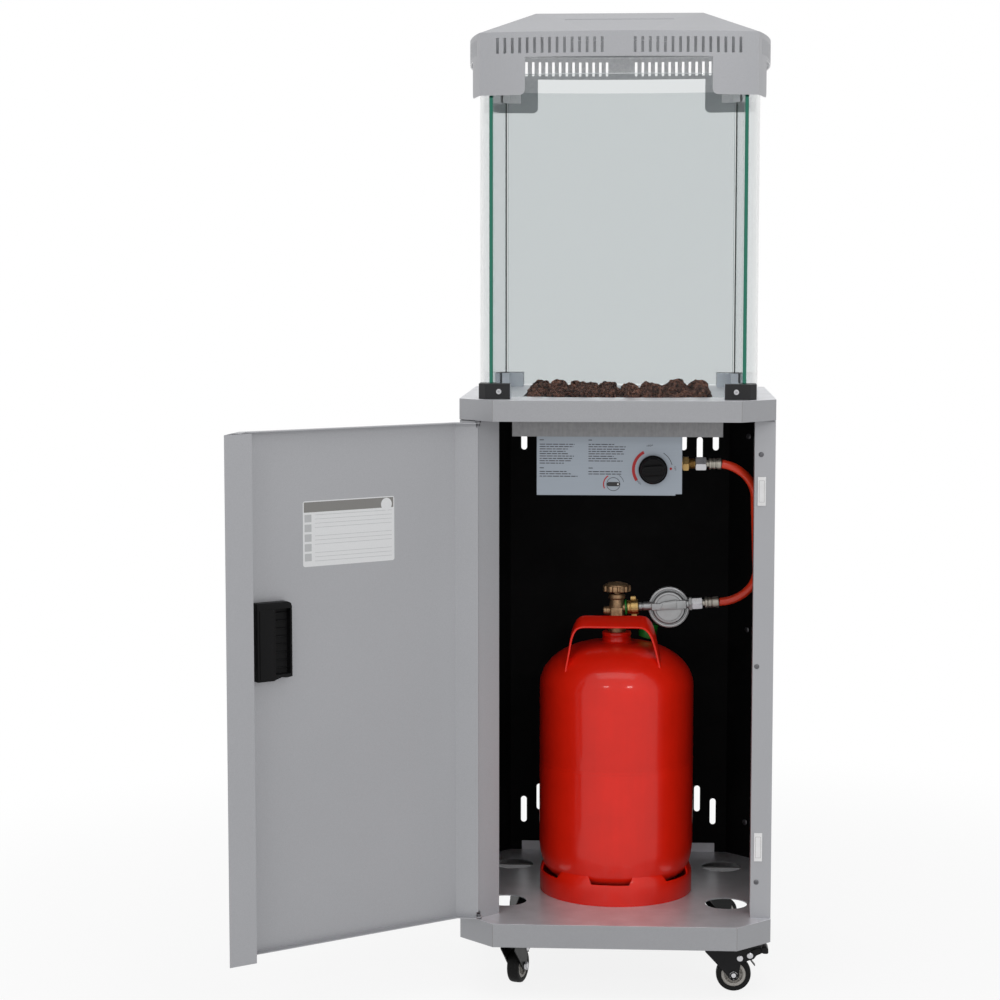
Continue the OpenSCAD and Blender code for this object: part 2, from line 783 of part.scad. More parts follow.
module rock(k, h) {
    seg = 7;
    low = [0, 0, 0];
    top = [rands(-3, 3, 1, k)[0], rands(-3, 3, 1, k + 900)[0], h];
    rings = [for (ring = [1 : 3]) for (i = [0 : seg - 1]) rock_vertex(k, ring, i, seg, h)];
    pts = concat([low], rings, [top]);
    last = 3 * seg + 1;
    polyhedron(pts, concat(
        [for (i = [0 : seg - 1]) [0, 1 + i, 1 + (i + 1) % seg]],
        [for (r = [0 : 1]) for (i = [0 : seg - 1])
            [1 + r * seg + i, 1 + (r + 1) * seg + i, 1 + r * seg + (i + 1) % seg]],
        [for (r = [0 : 1]) for (i = [0 : seg - 1])
            [1 + r * seg + (i + 1) % seg, 1 + (r + 1) * seg + i, 1 + (r + 1) * seg + (i + 1) % seg]],
        [for (i = [0 : seg - 1]) [last, 1 + 2 * seg + (i + 1) % seg, 1 + 2 * seg + i]]
    ));
}

module lava_rocks() {
    color("#6d4037")
        for (i = [0 : rock_n - 1]) for (j = [0 : rock_n - 1]) {
            k = i * rock_n + j;
            translate([
                (i - (rock_n - 1) / 2) * rock_pitch, (j - (rock_n - 1) / 2) * rock_pitch,
                grate_top_z + gap
            ]) rock(k, rands(30, 42, 1, k + 300)[0]);
        }
}

// Control panel hung from the burner tray
module control_panel() {
    color("#a9bccb")
        difference() {
            union() {
                translate([panel_x0, panel_y, panel_z]) cube([panel_x1 - panel_x0, shell_t, panel_h]);
                translate([panel_x0, panel_y, panel_top_z - shell_t])
                    cube([panel_x1 - panel_x0, 22, shell_t]);
            }
            along_y(7, panel_y - cut_more, panel_back_y + cut_more, knob_x, knob_z);
            translate([panel_x1 - notch_w, panel_y - cut_more, panel_z - cut_more])
                cube([notch_w + cut_more, shell_t + 2 * cut_more, notch_h + cut_more]);
        }
}

// Gas valve behind the panel, with its inlet arm
module gas_valve() {
    color("#b8a15c")
        difference() {
            union() {
                translate([knob_x - 20, panel_back_y, knob_z - 18]) cube([40, 40, 36]);
                along_x(9, knob_x + 18, panel_x1 + 1, valve_y, inlet_z);
                along_y(8, panel_back_y + 38, panel_back_y + 48, knob_x, knob_z);
            }
            along_y(stem_r + pin_fit, panel_back_y - cut_more, stem_back_y + gap, knob_x, knob_z);
            along_y(4, panel_back_y + 36, panel_back_y + 50, knob_x, knob_z);
        }
}

// Stem that the knob sits on; it turns, and the knob slides on it
module valve_stem() {
    color("#c9cdd0")
        along_y(stem_r, stem_front_y, stem_back_y, knob_x, knob_z);
}

module control_knob() {
    color("#202124")
        translate([knob_x, panel_y - knob_gap, knob_z]) rotate([90, 0, 0])
            difference() {
                rotate_extrude($fn = 64) polygon([
                    [0, 0], [knob_r, 0], [knob_r, 5], [knob_r - 1.5, 6.5],
                    [knob_r - 3, knob_d - 1.2], [knob_r - 4.2, knob_d], [0, knob_d]
                ]);
                translate([0, 0, -cut_more])
                    cylinder(r = stem_r + pin_fit, h = knob_bore + cut_more);
            }
}

// Pipe from the valve back and up to the burner's mixing tube
module elbow(r, bend) {
    rotate_extrude(angle = 90, $fn = 48) translate([bend, 0]) circle(r = r, $fn = 24);
}

pipe_r = 5;
pipe_bend = 18;
module feed_pipe() {
    y0 = panel_back_y + 48;
    color("#c79a4b") {
        along_y(pipe_r, y0, -pipe_bend, knob_x, knob_z);
        translate([knob_x - pipe_bend, -pipe_bend, knob_z]) elbow(pipe_r, pipe_bend);
        along_x(pipe_r, pipe_bend, knob_x - pipe_bend, 0, knob_z);
        translate([pipe_bend, 0, knob_z + pipe_bend]) rotate([90, 0, 0]) rotate(180)
            elbow(pipe_r, pipe_bend);
        translate([0, 0, knob_z + pipe_bend])
            cylinder(r = pipe_r, h = burner_z - mixer_low - knob_z - pipe_bend);
    }
}

// Tilt switch on the back of the panel
module tilt_switch() {
    color("#3c3f42")
        translate([-74, panel_back_y, panel_z + 28]) {
            cube([26, 24, 30]);
            translate([13, 12, 30]) cylinder(r = 5, h = 6);
        }
}

module inlet_fitting() {
    color("#c9a24a") {
        translate([panel_x1 + 1, valve_y, inlet_z]) rotate([0, 90, 0]) hexagon(19, 9);
        along_x(7.5, panel_x1 + 9, panel_x1 + 19, valve_y, inlet_z);
    }
}

// Pieces at the regulator, in a frame on the bottle valve's outlet, X along the outlet
module at_outlet() {
    translate([bottle_x, bottle_y, outlet_z]) rotate([0, -outlet_tilt, 0]) children();
}

module hose_nut() {
    rotate([0, 90, 0]) hexagon(19, 15);
}

nut_x = panel_x1 + 19;
hose_start_x = hose_path[0][0];
reg_out = 109;
hose_end_run = 148;

module hose_nuts() {
    color("#8d8f92") {
        translate([nut_x, valve_y, inlet_z]) hose_nut();
        at_outlet() translate([reg_out, 0, 0]) hose_nut();
    }
}

module ferrule(x0, x1) {
    rotate([0, 90, 0]) translate([0, 0, x0]) {
        cylinder(r = 5, h = 3.5);
        translate([0, 0, 3]) cylinder(r = 8, h = x1 - x0 - 3);
    }
}

module hose_ferrules() {
    color("#b9bcc0") {
        translate([0, valve_y, inlet_z]) ferrule(nut_x + 15, hose_start_x);
        at_outlet() ferrule(reg_out + 15, hose_end_run);
    }
}

// Gas hose: rings of points square to the route, joined to one tube
function route_dir(i) = unit(
    hose_path[min(i + 1, len(hose_path) - 1)] - hose_path[max(i - 1, 0)]
);
function ring_dir(i) =
    i == 0 ? [1, 0, 0]
    : i == len(hose_path) - 1 ? [-cos(outlet_tilt), 0, -sin(outlet_tilt)]
    : route_dir(i);
function hose_ring(i) =
    let (d = ring_dir(i))
    let (s = unit(cross(d, [0.2, 1, 0.1])))
    let (t = cross(d, s))
        [for (k = [0 : hose_sides - 1])
            hose_path[i] + hose_r * (cos(360 * k / hose_sides) * s + sin(360 * k / hose_sides) * t)];

module gas_hose() {
    n = len(hose_path);
    m = hose_sides;
    pts = [for (i = [0 : n - 1]) for (p = hose_ring(i)) p];
    color("#c8402a")
        polyhedron(concat(pts, [hose_path[0], hose_path[n - 1]]), concat(
            [for (i = [0 : n - 2]) for (k = [0 : m - 1])
                [i * m + k, (i + 1) * m + k, i * m + (k + 1) % m]],
            [for (i = [0 : n - 2]) for (k = [0 : m - 1])
                [i * m + (k + 1) % m, (i + 1) * m + k, (i + 1) * m + (k + 1) % m]],
            [for (k = [0 : m - 1]) [n * m, k, (k + 1) % m]],
            [for (k = [0 : m - 1]) [n * m + 1, (n - 1) * m + (k + 1) % m, (n - 1) * m + k]]
        ));
}

module regulator() {
    color("#a8abad")
        at_outlet() {
            along_x(6.25, 32, 58, 0, 0);
            translate([75.5, 6, -3.7]) rotate([90, 0, 0]) rotate_extrude($fn = 72) polygon([
                [0, -10], [24, -10], [regulator_r, -3], [regulator_r, 5], [24.7, 8],
                [22, 15], [12, 17], [0, 17]
            ]);
            along_x(7.5, 92, 107, 0, 0);
            translate([106, 0, 0]) rotate([0, 90, 0]) hexagon(18, reg_out - 106);
        }
}

module union_nut() {
    color("#c9a24a")
        at_outlet() {
            difference() {
                along_x(11, 14.8, 32, 0, 0);
                along_x(7, 13, 30, 0, 0);
            }
            for (s = [-1, 1]) translate([20, -2.5, s > 0 ? 9 : -16]) cube([8, 5, 7]);
        }
}

// Gas bottle, a closed vessel of sheet steel
module bottle_profile(inset) {
    z1 = bottle_z + shoulder_z;
    r = bottle_r - inset;
    top = dome_h - inset;
    polygon(concat(
        [[0, body_low_z - bottom_h + inset]],
        [for (a = [-88, -84, -78, -70, -60, -50, -40, -30, -20, -10, 0])
            [r * pow(cos(a), bottom_round), body_low_z + (bottom_h - inset) * sin(a)]],
        [for (a = [0 : 6 : 84]) [neck_r + (r - neck_r) * cos(a), z1 + top * sin(a)]],
        [[neck_r, z1 + top], [0, z1 + top]]
    ));
}

module bottle_solid() {
    translate([bottle_x, bottle_y, 0]) {
        rotate_extrude($fn = 120) bottle_profile(0);
        translate([0, 0, bottle_top_z - 1]) cylinder(r = neck_r, h = neck_h + 1);
    }
}

module bottle_body() {
    color("#c8242b") difference() {
        bottle_solid();
        translate([bottle_x, bottle_y, 0]) rotate_extrude($fn = 120) bottle_profile(bottle_wall);
    }
}

module bottle_foot_ring() {
    t = 2.5;
    r = bottle_r - 1;
    low = foot_h - 8.7;
    color("#c8242b")
        difference() {
            translate([bottle_x, bottle_y, bottle_z]) rotate_extrude($fn = 120) polygon([
                [r - t, 0], [r, 0], [r, foot_h - 16], [r - 1.3, foot_h - 9.5],
                [r - 4.2, foot_h - 3], [r - 8, foot_h], [r - 9, foot_h - 2],
                [r - 4.5, foot_h - 7.5], [r - t - 0.5, foot_h - 12], [r - t, foot_h - 16]
            ]);
            bottle_solid();
            for (i = [0 : 5])
                translate([bottle_x, bottle_y, bottle_z]) rotate(60 * i - 93.6)
                    translate([r - 14, 0, 0]) rotate([90, 0, 90]) linear_extrude(28)
                        polygon([[-28, low], [28, low], [34, foot_h + 5], [-34, foot_h + 5]]);
        }
}

// Carrying handle: a strap between stations, each a back edge, a front edge and an outward lean
handle_t = 3;
function handle_line() = [
    [[-74, -64, 436], [-75, -81, 430], [-1, 0, 0]],
    [[-67, -57, 476], [-68.5, -78, 468], [-1, 0, 0.1]],
    [[-63.5, -51, 494], [-65.3, -76, 486], [-1, 0, 0.2]],
    [[-60.2, -47, 505], [-60.5, -74, 496], [-0.9, 0, 0.4]],
    [[-56, -46, 511.5], [-55, -73.4, 500.6], [-0.7, 0, 0.7]],
    [[-48, -46, 515], [-46, -73, 502.6], [-0.2, 0, 1]],
    [[35, -46, 515.4], [30, -73, 502.5], [0.2, 0, 1]],
    [[42, -46, 513.4], [41, -73.6, 499.6], [0.7, 0, 0.7]],
    [[48, -47, 505.8], [48.4, -75, 491.6], [0.9, 0, 0.4]],
    [[52.5, -52, 494.5], [52.6, -77, 481], [1, 0, 0.2]],
    [[57, -59, 476], [57.2, -79, 465], [1, 0, 0.1]],
    [[65, -68, 436], [66, -84, 430], [1, 0, 0]]
];
module bottle_handle() {
    line = handle_line();
    n = len(line);
    pts = [for (s = line) each [s[0], s[1], s[1] - handle_t * unit(s[2]), s[0] - handle_t * unit(s[2])]];
    color("#c8242b")
        difference() {
            polyhedron(pts, concat(
                [[0, 1, 2], [0, 2, 3]],
                [for (i = [0 : n - 2]) for (k = [0 : 3])
                    [4 * i + k, 4 * i + 4 + k, 4 * i + (k + 1) % 4]],
                [for (i = [0 : n - 2]) for (k = [0 : 3])
                    [4 * i + (k + 1) % 4, 4 * i + 4 + k, 4 * i + 4 + (k + 1) % 4]],
                [[4 * n - 4, 4 * n - 2, 4 * n - 3], [4 * n - 4, 4 * n - 1, 4 * n - 2]]
            ));
            bottle_solid();
        }
}

module bottle_valve() {
    color("#c9a24a")
        translate([bottle_x, bottle_y, 0]) {
            translate([0, 0, valve_z]) cylinder(r = 13, h = 6);
            difference() {
                translate([0, 0, valve_z + 5]) cylinder(r = valve_r, h = handwheel_z - valve_z - 8);
                translate([0, 0, handwheel_z - 14]) cylinder(r = spindle_r + pin_fit, h = 20);
            }
            translate([0, 0, handwheel_z - 9]) difference() {
                cylinder(r = 12, h = 5);
                translate([0, 0, -cut_more]) cylinder(r = spindle_r + pin_fit, h = 8);
            }
            translate([0, 0, outlet_z - 4]) rotate([0, -90, 0]) cylinder(r = 5.5, h = 20);
            translate([0, 0, outlet_z]) rotate([0, 90 - outlet_tilt, 0]) cylinder(r = 6.5, h = 29);
        }
}

module bottle_handwheel() {
    color("#3a3d40")
        translate([bottle_x, bottle_y, handwheel_z]) {
            linear_extrude(handwheel_h) difference() {
                circle(r = handwheel_r, $fn = 72);
                for (a = [0 : 30 : 330]) rotate(a) translate([handwheel_r + 1.6, 0]) circle(r = 3);
                circle(r = spindle_r - 1);
            }
            translate([0, 0, -13]) cylinder(r = spindle_r, h = 13 + handwheel_h - 4);
        }
}

// Green dust cap, hanging from a ring round the outlet
module dust_cap() {
    color("#3f8a4a")
        translate([bottle_x, bottle_y, outlet_z]) {
            rotate([0, 90 - outlet_tilt, 0]) translate([0, 0, 11.9]) difference() {
                union() {
                    cylinder(r = 11, h = 2.6);
                    translate([-2, 8, 0]) cube([5, 26, 2]);
                }
                translate([0, 0, -cut_more]) cylinder(r = 6.5 + pin_fit, h = 10);
            }
            translate([46, 33, -37]) rotate([0, 15, 0]) difference() {
                translate([0, 0, -11]) cylinder(r = 13, h = 22);
                translate([0, 0, -13]) cylinder(r = 11, h = 22);
            }
            translate([9.5, 31, -28]) cube([5, 4, 29]);
            translate([9.5, 31, -28]) cube([38, 4, 3]);
        }
}

// Glass panes
module pane(turn) {
    off = glass_half + bow - glass_R;
    color("#bfd3d6", 0.35)
        translate([0, 0, glass_z]) rotate(turn) linear_extrude(glass_h)
            intersection() {
                difference() {
                    translate([0, -off]) circle(r = glass_R, $fn = 360);
                    translate([0, -off]) circle(r = glass_R - glass_t, $fn = 360);
                }
                translate([-pane_half, -glass_half - bow - 1]) square([2 * pane_half, glass_half]);
            }
}

module front_glass() { pane(0); }
module rear_glass() { pane(180); }
module left_glass() { pane(270); }
module right_glass() { pane(90); }

// Room for the ends of the panes, with the gap all round
module glass_room(z0, z1) {
    off = glass_half + bow - glass_R;
    for (turn = [0, 90, 180, 270])
        translate([0, 0, z0]) rotate(turn) linear_extrude(z1 - z0)
            intersection() {
                difference() {
                    translate([0, -off]) circle(r = glass_R + gap, $fn = 360);
                    translate([0, -off]) circle(r = glass_R - glass_t - gap, $fn = 360);
                }
                translate([-pane_half - gap, -glass_half - bow - 1])
                    square([2 * (pane_half + gap), glass_half]);
            }
}

module bracket_screw_holes(r, from, to) {
    for (k = [0, 180]) rotate(k) for (s = [-1, 1])
        along_y(r, from, to, s * socket_x, socket_z);
}

screw_run = 11;
hole_reach = 4;
// Four corner brackets on the deck
module corner_brackets() {
    b = bracket_half;
    l = b - bracket_leg;
    c = bracket_chamfer;
    color("#1f2022")
        difference() {
            for (k = [0 : 3]) rotate(90 * k) translate([0, 0, deck_z]) linear_extrude(bracket_h)
                polygon([
                    [l, l + bracket_leg - (b - bracket_in)], [l, b], [b - c, b], [b, b - c],
                    [b, l], [bracket_in, l], [bracket_in, bracket_in], [l, bracket_in]
                ]);
            glass_room(glass_z - gap, deck_z + bracket_h + cut_more);
            bracket_screw_holes(2.5 + pin_fit, -b - cut_more, -b + screw_run + hole_reach);
        }
}

module bracket_screws() {
    b = bracket_half;
    color("#8d8f92")
        for (k = [0, 180]) rotate(k) for (s = [-1, 1])
            difference() {
                union() {
                    along_y(2.5, -b - 0.5, -b + screw_run, s * socket_x, socket_z);
                    along_y(4.7, -b - 2.6, -b, s * socket_x, socket_z);
                }
                translate([s * socket_x, -b - 3, socket_z]) rotate([-90, 0, 0]) hexagon(3, 2);
            }
}

// Hood: bowed walls with openings and slots, a hipped roof, and clips for the glass
module roof_hull(inset, rim_h, top_half, z_low, z_top) {
    hull() {
        translate([0, 0, z_low]) linear_extrude(rim_h)
            polygon(bowed_points(hood_half - inset, hood_R - inset));
        translate([0, 0, z_top - 0.2]) linear_extrude(0.2)
            square(2 * top_half, center = true);
    }
}

leg_round = 8;
roof_slot_half = 74;
module hood_walls() {
    difference() {
        translate([0, 0, hood_z]) linear_extrude(hood_wall_h) difference() {
            bowed_square(hood_half, hood_R);
            bowed_square(hood_half - sheet, hood_R - sheet);
        }
        for (turn = [0, 90]) rotate(turn) {
            translate([-window_half, -300, hood_z - cut_more])
                cube([2 * window_half, 600, window_h + cut_more]);
            for (s = [-1, 1]) difference() {
                translate([s * window_half - leg_round, -300, hood_z - cut_more])
                    cube([2 * leg_round, 600, leg_round + cut_more]);
                along_y(leg_round, -301, 301, s * (window_half + leg_round), hood_z + leg_round);
            }
            for (s = [-1, 1]) for (i = [0 : vent_n - 1])
                translate([s * (22 + i * vent_pitch) - vent_w / 2, -300, hood_z + window_h + 5])
                    cube([vent_w, 600, vent_h]);
        }
    }
}

module hood_clips() {
    difference() {
        translate([0, 0, glass_top_z - 16]) linear_extrude(24) difference() {
            intersection() {
                bowed_square(hood_half - sheet + 0.2, hood_R - sheet + 0.2);
                for (k = [0 : 3]) rotate(90 * k) translate([clip_from, clip_from]) square(60);
            }
            square(2 * bracket_in, center = true);
        }
        glass_room(glass_top_z - 20, glass_top_z + gap);
    }
}

module hood() {
    color("#b4bcc4") {
        hood_walls();
        difference() {
            roof_hull(eave_step, 1, roof_top_half, eave_z - 1, eave_z + roof_h);
            roof_hull(eave_step + sheet, 2, roof_top_half - 1, eave_z - 3, eave_z + roof_h - sheet);
            for (turn = [0 : 90 : 270]) rotate(turn)
                translate([-roof_slot_half, -151, eave_z + 6]) cube([2 * roof_slot_half, 4, roof_h]);
        }
        hood_clips();
    }
}

// Door, modelled closed and swung open about its hinge
module swung() {
    translate([hinge_x, hinge_y, 0]) rotate([0, 0, -door_open]) translate([-hinge_x, -hinge_y, 0])
        children();
}

function door_outline() = [
    [hinge_x, hinge_y], [-door_half + door_cut, -door_half], [door_half - door_cut, -door_half],
    [door_half, -door_half + door_cut], [door_half - door_return, -door_half + door_cut]
];

cup_x = 125;
cup_z = tray_z + 418;
cup_depth = 16;

module door_lips() {
    difference() {
        union() {
            translate([0, 0, door_z0]) linear_extrude(door_t) ribbon(door_lip_line(), door_lip);
            translate([0, 0, door_z1 - door_t]) linear_extrude(door_t)
                ribbon(door_lip_line(), door_lip);
            for (z = [door_z0, door_z1 - door_t])
                translate([hinge_x, hinge_y, z]) cylinder(r = ear_r, h = door_t);
        }
        translate([hinge_x, hinge_y, door_z0 - cut_more])
            cylinder(r = pin_r + pin_fit, h = door_z1 - door_z0 + 2 * cut_more);
    }
}

function door_lip_line() = [
    [hinge_x, hinge_y], [-door_half + door_cut, -door_half], [door_half - door_cut, -door_half],
    [door_half - door_cut / 2, -door_half + door_cut / 2]
];

module door_panel() {
    color("#b4bcc4")
        swung() {
            difference() {
                translate([0, 0, door_z0]) linear_extrude(door_z1 - door_z0)
                    ribbon(door_outline(), door_t);
                translate([cup_x - cup_w / 2 + 4, -door_half - cut_more, cup_z - cup_h / 2 + 4])
                    cube([cup_w - 8, door_t + 2 * cut_more, cup_h - 8]);
                for (z = [door_z0 - cut_more, door_z1 - pin_reach - 2])
                    translate([hinge_x, hinge_y, z])
                        cylinder(r = pin_r + 0.5, h = pin_reach + 2 + cut_more);
            }
            door_lips();
        }
}

// Recessed black handle, a cup let into the door
module door_handle() {
    color("#1f2022")
        swung() difference() {
            union() {
                translate([cup_x - cup_w / 2, -door_half + door_t, cup_z - cup_h / 2])
                    cube([cup_w, cup_depth, cup_h]);
                translate([cup_x - cup_w / 2 + 4.3, -door_half - 1, cup_z - cup_h / 2 + 4.3])
                    cube([cup_w - 8.6, 4, cup_h - 8.6]);
            }
            translate([cup_x - cup_w / 2 + 6.5, -door_half - 2, cup_z - cup_h / 2 + 6.5])
                cube([cup_w - 13, cup_depth + 1.2, cup_h - 13]);
        }
}

// Hinge pins with their collars, one in the tray and one in the deck's corner lug
module hinge_pins() {
    color("#1a1a1b")
        translate([hinge_x, hinge_y, 0]) {
            translate([0, 0, floor_under_z])
                cylinder(r = pin_r, h = door_z0 + pin_reach - floor_under_z);
            translate([0, 0, tray_z]) cylinder(r = pin_collar_r, h = door_gap - gap);
            translate([0, 0, door_z1 - pin_reach])
                cylinder(r = pin_r, h = deck_low_z + sheet - door_z1 + pin_reach);
            translate([0, 0, door_z1 + gap])
                cylinder(r = pin_collar_r, h = deck_low_z - door_z1 - gap);
        }
}

base_tray();
castor_rails();
castor_plates();
fork_fl();
fork_fr();
fork_rl();
fork_rr();
axle_fl();
axle_fr();
axle_rl();
axle_rr();
rim_fl();
rim_fr();
rim_rl();
rim_rr();
tyre_fl();
tyre_fr();
tyre_rl();
tyre_rr();
brake_pedal_fl();
brake_pedal_fr();
left_post();
right_post();
rear_posts();
cabinet_shell();
pan_head_screws();
strike_pads();
deck_plate();
burner_tray();
rock_grate();
main_burner();
pilot_assembly();
lava_rocks();
control_panel();
gas_valve();
valve_stem();
control_knob();
feed_pipe();
tilt_switch();
inlet_fitting();
hose_nuts();
hose_ferrules();
gas_hose();
regulator();
union_nut();
bottle_body();
bottle_foot_ring();
bottle_handle();
bottle_valve();
bottle_handwheel();
dust_cap();
front_glass();
rear_glass();
left_glass();
right_glass();
corner_brackets();
bracket_screws();
hood();
door_panel();
door_handle();
hinge_pins();
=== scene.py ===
"""Looks of the gas patio heater: its finishes, its small parts, its stage and its camera."""

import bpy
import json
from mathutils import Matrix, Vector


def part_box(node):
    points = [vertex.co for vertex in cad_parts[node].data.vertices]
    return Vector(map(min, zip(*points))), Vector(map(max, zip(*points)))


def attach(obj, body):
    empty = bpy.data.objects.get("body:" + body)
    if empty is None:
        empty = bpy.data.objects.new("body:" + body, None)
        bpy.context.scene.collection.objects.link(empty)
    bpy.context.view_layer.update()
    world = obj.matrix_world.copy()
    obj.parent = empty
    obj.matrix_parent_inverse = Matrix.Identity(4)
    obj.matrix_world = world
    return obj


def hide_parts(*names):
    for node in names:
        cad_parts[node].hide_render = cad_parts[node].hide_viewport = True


bl_info = {
    "name": "Gas Patio Heater",
    "version": (1, 0, 0),
    "blender": (4, 5, 0),
    "location": "3D View > Sidebar > Heater",
    "description": "Dresses a packed gas patio heater and sets it in a studio",
    "category": "Object",
}

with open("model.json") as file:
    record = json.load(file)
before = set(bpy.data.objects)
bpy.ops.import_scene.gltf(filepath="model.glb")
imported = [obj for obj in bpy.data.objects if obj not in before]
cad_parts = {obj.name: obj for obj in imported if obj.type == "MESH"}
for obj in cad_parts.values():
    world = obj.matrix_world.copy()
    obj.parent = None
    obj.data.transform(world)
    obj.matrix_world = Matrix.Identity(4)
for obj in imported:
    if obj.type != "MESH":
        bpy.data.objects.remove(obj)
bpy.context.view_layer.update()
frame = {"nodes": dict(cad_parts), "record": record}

import json
import math
import random

import bpy
from mathutils import Matrix, Vector

MM = 0.001
NODES = frame["nodes"]
JOINTS = {joint["name"]: joint for joint in frame["record"]["behaviour"]["joints"]}


def joint_place(name):
    """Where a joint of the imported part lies, in millimetres."""
    return [value / MM for value in JOINTS[name]["pos_m"]]


# The hose's route between its two ferrules, as the source has it, in millimetres
HOSE_ROUTE = [
    (145.05, -118, 742), (155.8, -116.6, 739.4), (165.7, -114.3, 735), (174.5, -111.1, 729),
    (181.9, -107.2, 721.6), (187.5, -102.7, 713.2), (191.3, -97.8, 703.9), (192.9, -92.7, 694.2),
    (194.5, -78, 666.5), (196.2, -63.4, 638.8), (197.8, -48.7, 611.1), (199.5, -34.1, 583.4),
    (198.7, -28.5, 572.7), (195.4, -23.2, 562.4), (189.5, -18.4, 553), (181.5, -14.5, 545),
    (171.7, -11.5, 538.7), (160.6, -9.6, 534.4), (148.7, -9, 532.4), (146.72, -9, 532.31),
]

# Below are millimetres and degrees; names that end in _M are in metres
CASTORS = ("fl", "fr", "rl", "rr")
BRAKED_CASTORS = ("fl", "fr")
# Centre of a wheel, seen from the foot of its castor's stem
WHEEL_IN_CASTOR = (22, 0, 24.5)
# How far the door stands open, and where its inner face is when it is shut
DOOR_OPEN = JOINTS["door_hinge"]["range_deg"][1]
DOOR_INNER_Y = -212.1
KNOB_X, PANEL_Y, KNOB_Z = joint_place("knob_turn")
KNOB_GAP = 4
PRINT_Y = PANEL_Y - 0.02
BOTTLE_X, BOTTLE_Y, HANDWHEEL_Z = joint_place("bottle_valve_turn")
BOTTLE_R = 112
TRAY_FLOOR_Z = 108
# Where the lines to the hose start, and how far along them the hose nuts begin
OUTLET = (BOTTLE_X, BOTTLE_Y, 522.5)
OUTLET_TILT = 3.8
INLET = (0, -118, 742)
HOSE_NUT_FROM = 109
# Limits between two looks of one piece, as heights or as distances from the heater's middle planes
# Above TRAY_TOP_M and DECK_TOP_M the tray's and deck's tops are painted paler, as painted light
TRAY_TOP_M = 0.108
DECK_TOP_M = 0.835
HOOD_ROOF_M = 1.33
BRACKET_INNER_M = 0.1664
BRACKET_ARM_M = 0.1464
PANE_END_M = 0.1699


def each_castor(part):
    return [f"{part}_{key}" for key in CASTORS]


# Sizes and colours


def tint(name, about, colour):
    return bpy.props.FloatVectorProperty(
        name=name, description=about, subtype="COLOR", size=3, min=0, max=1, default=colour
    )


class HeaterColours(bpy.types.PropertyGroup):
    silver: tint("Silver coat", "Powder coat on the outer sheets", (0.42, 0.425, 0.445))
    black: tint("Black coat", "Coat on the inner cabinet", (0.0045, 0.0045, 0.005))
    red: tint("Bottle red", "Gloss paint on the gas bottle", (0.90, 0.016, 0.004))
    hose: tint("Hose", "Rubber of the gas hose", (0.82, 0.045, 0.012))
    panel: tint("Panel coat", "Coat on the control panel", (0.355, 0.398, 0.452))
    lava: tint("Lava", "Lightest brown of the lava rocks", (0.20, 0.088, 0.06))
    # The glass tint is darker than clear glass's own: partly its absorption, partly a painted reflection of
    # the dark room in the panes
    glass: tint("Glass", "Tint of the panes", (0.745, 0.768, 0.772))
    brass: tint("Brass", "Bright brass fittings", (0.54, 0.36, 0.14))
    bronze: tint("Aged brass", "Weathered brass of the bottle's valve", (0.30, 0.19, 0.105))


class HeaterSizes(bpy.types.PropertyGroup):
    hose_diameter: bpy.props.FloatProperty(
        name="Hose diameter", description="Outer diameter of the gas hose",
        default=0.012, min=0.008, max=0.014, unit="LENGTH",
    )
    rock_seed: bpy.props.IntProperty(
        name="Rock pile", description="Number that the pile of rocks is drawn from", default=7
    )
    handwheel_lobes: bpy.props.IntProperty(
        name="Handwheel grips", description="Hollows round the bottle's handwheel", default=12, min=6
    )


class HeaterStudio(bpy.types.PropertyGroup):
    room: bpy.props.FloatProperty(
        name="Room light", description="Strength of the even light from all round", default=0.59, min=0
    )
    key: bpy.props.FloatProperty(
        name="Top light", description="Power of the large lamp overhead",
        default=26.0, min=0, unit="POWER",
    )
    front: bpy.props.FloatProperty(
        name="Front lights", description="Power of each softbox beside the camera",
        default=11.0, min=0, unit="POWER",
    )


# Finishes


class Wire:
    """A value in a node tree. Sums written with it add the Math nodes that work them out."""

    def __init__(self, nodes, socket):
        self.nodes = nodes
        self.socket = socket

    def sum(self, operation, *values):
        return self.nodes.node("ShaderNodeMath", {"operation": operation}, dict(enumerate(values)))

    def __add__(self, other):
        return self.sum("ADD", self, other)

    __radd__ = __add__

    def __sub__(self, other):
        return self.sum("SUBTRACT", self, other)

    def __rsub__(self, other):
        return self.sum("SUBTRACT", other, self)

    def __mul__(self, other):
        return self.sum("MULTIPLY", self, other)

    __rmul__ = __mul__

    def __lt__(self, other):
        return self.sum("LESS_THAN", self, other)

    def size(self):
        return self.sum("ABSOLUTE", self)

    def least(self, other):
        return self.sum("MINIMUM", self, other)

    def most(self, other):
        return self.sum("MAXIMUM", self, other)

    def between(self, low, high):
        """0 below low, 1 above high, and a soft step from one to the other."""
        return self.nodes.node(
            "ShaderNodeMapRange", {"interpolation_type": "SMOOTHSTEP"}, {0: self, 1: low, 2: high}
        )


class Nodes:
    """A node tree in the making."""

    def __init__(self, tree):
        self.tree = tree

    def node(self, kind, settings=None, inputs=None, output=0):
        made = self.tree.nodes.new(kind)
        for key, value in (settings or {}).items():
            if key == "stops":
                ramp = made.color_ramp
                while len(ramp.elements) < len(value):
                    ramp.elements.new(1)
                for element, (position, colour) in zip(ramp.elements, value):
                    element.position = position
                    element.color = (*colour, 1)
            else:
                setattr(made, key, value)
        for key, value in (inputs or {}).items():
            self.feed(made.inputs[key], value)
        return Wire(self, made.outputs[output])

    def feed(self, socket, value):
        if isinstance(value, Wire):
            self.tree.links.new(value.socket, socket)
        elif socket.type == "RGBA" and len(value) == 3:
            socket.default_value = (*value, 1)
        else:
            socket.default_value = value

    def shown_ray(self):
        """1 for the rays that make the picture: straight, mirrored or through glass."""
        shown = self.node("ShaderNodeLightPath", output="Is Camera Ray")
        rays = shown.socket.node.outputs
        for kind in ("Is Glossy Ray", "Is Transmission Ray"):
            shown = shown.most(Wire(self, rays[kind]))
        return shown


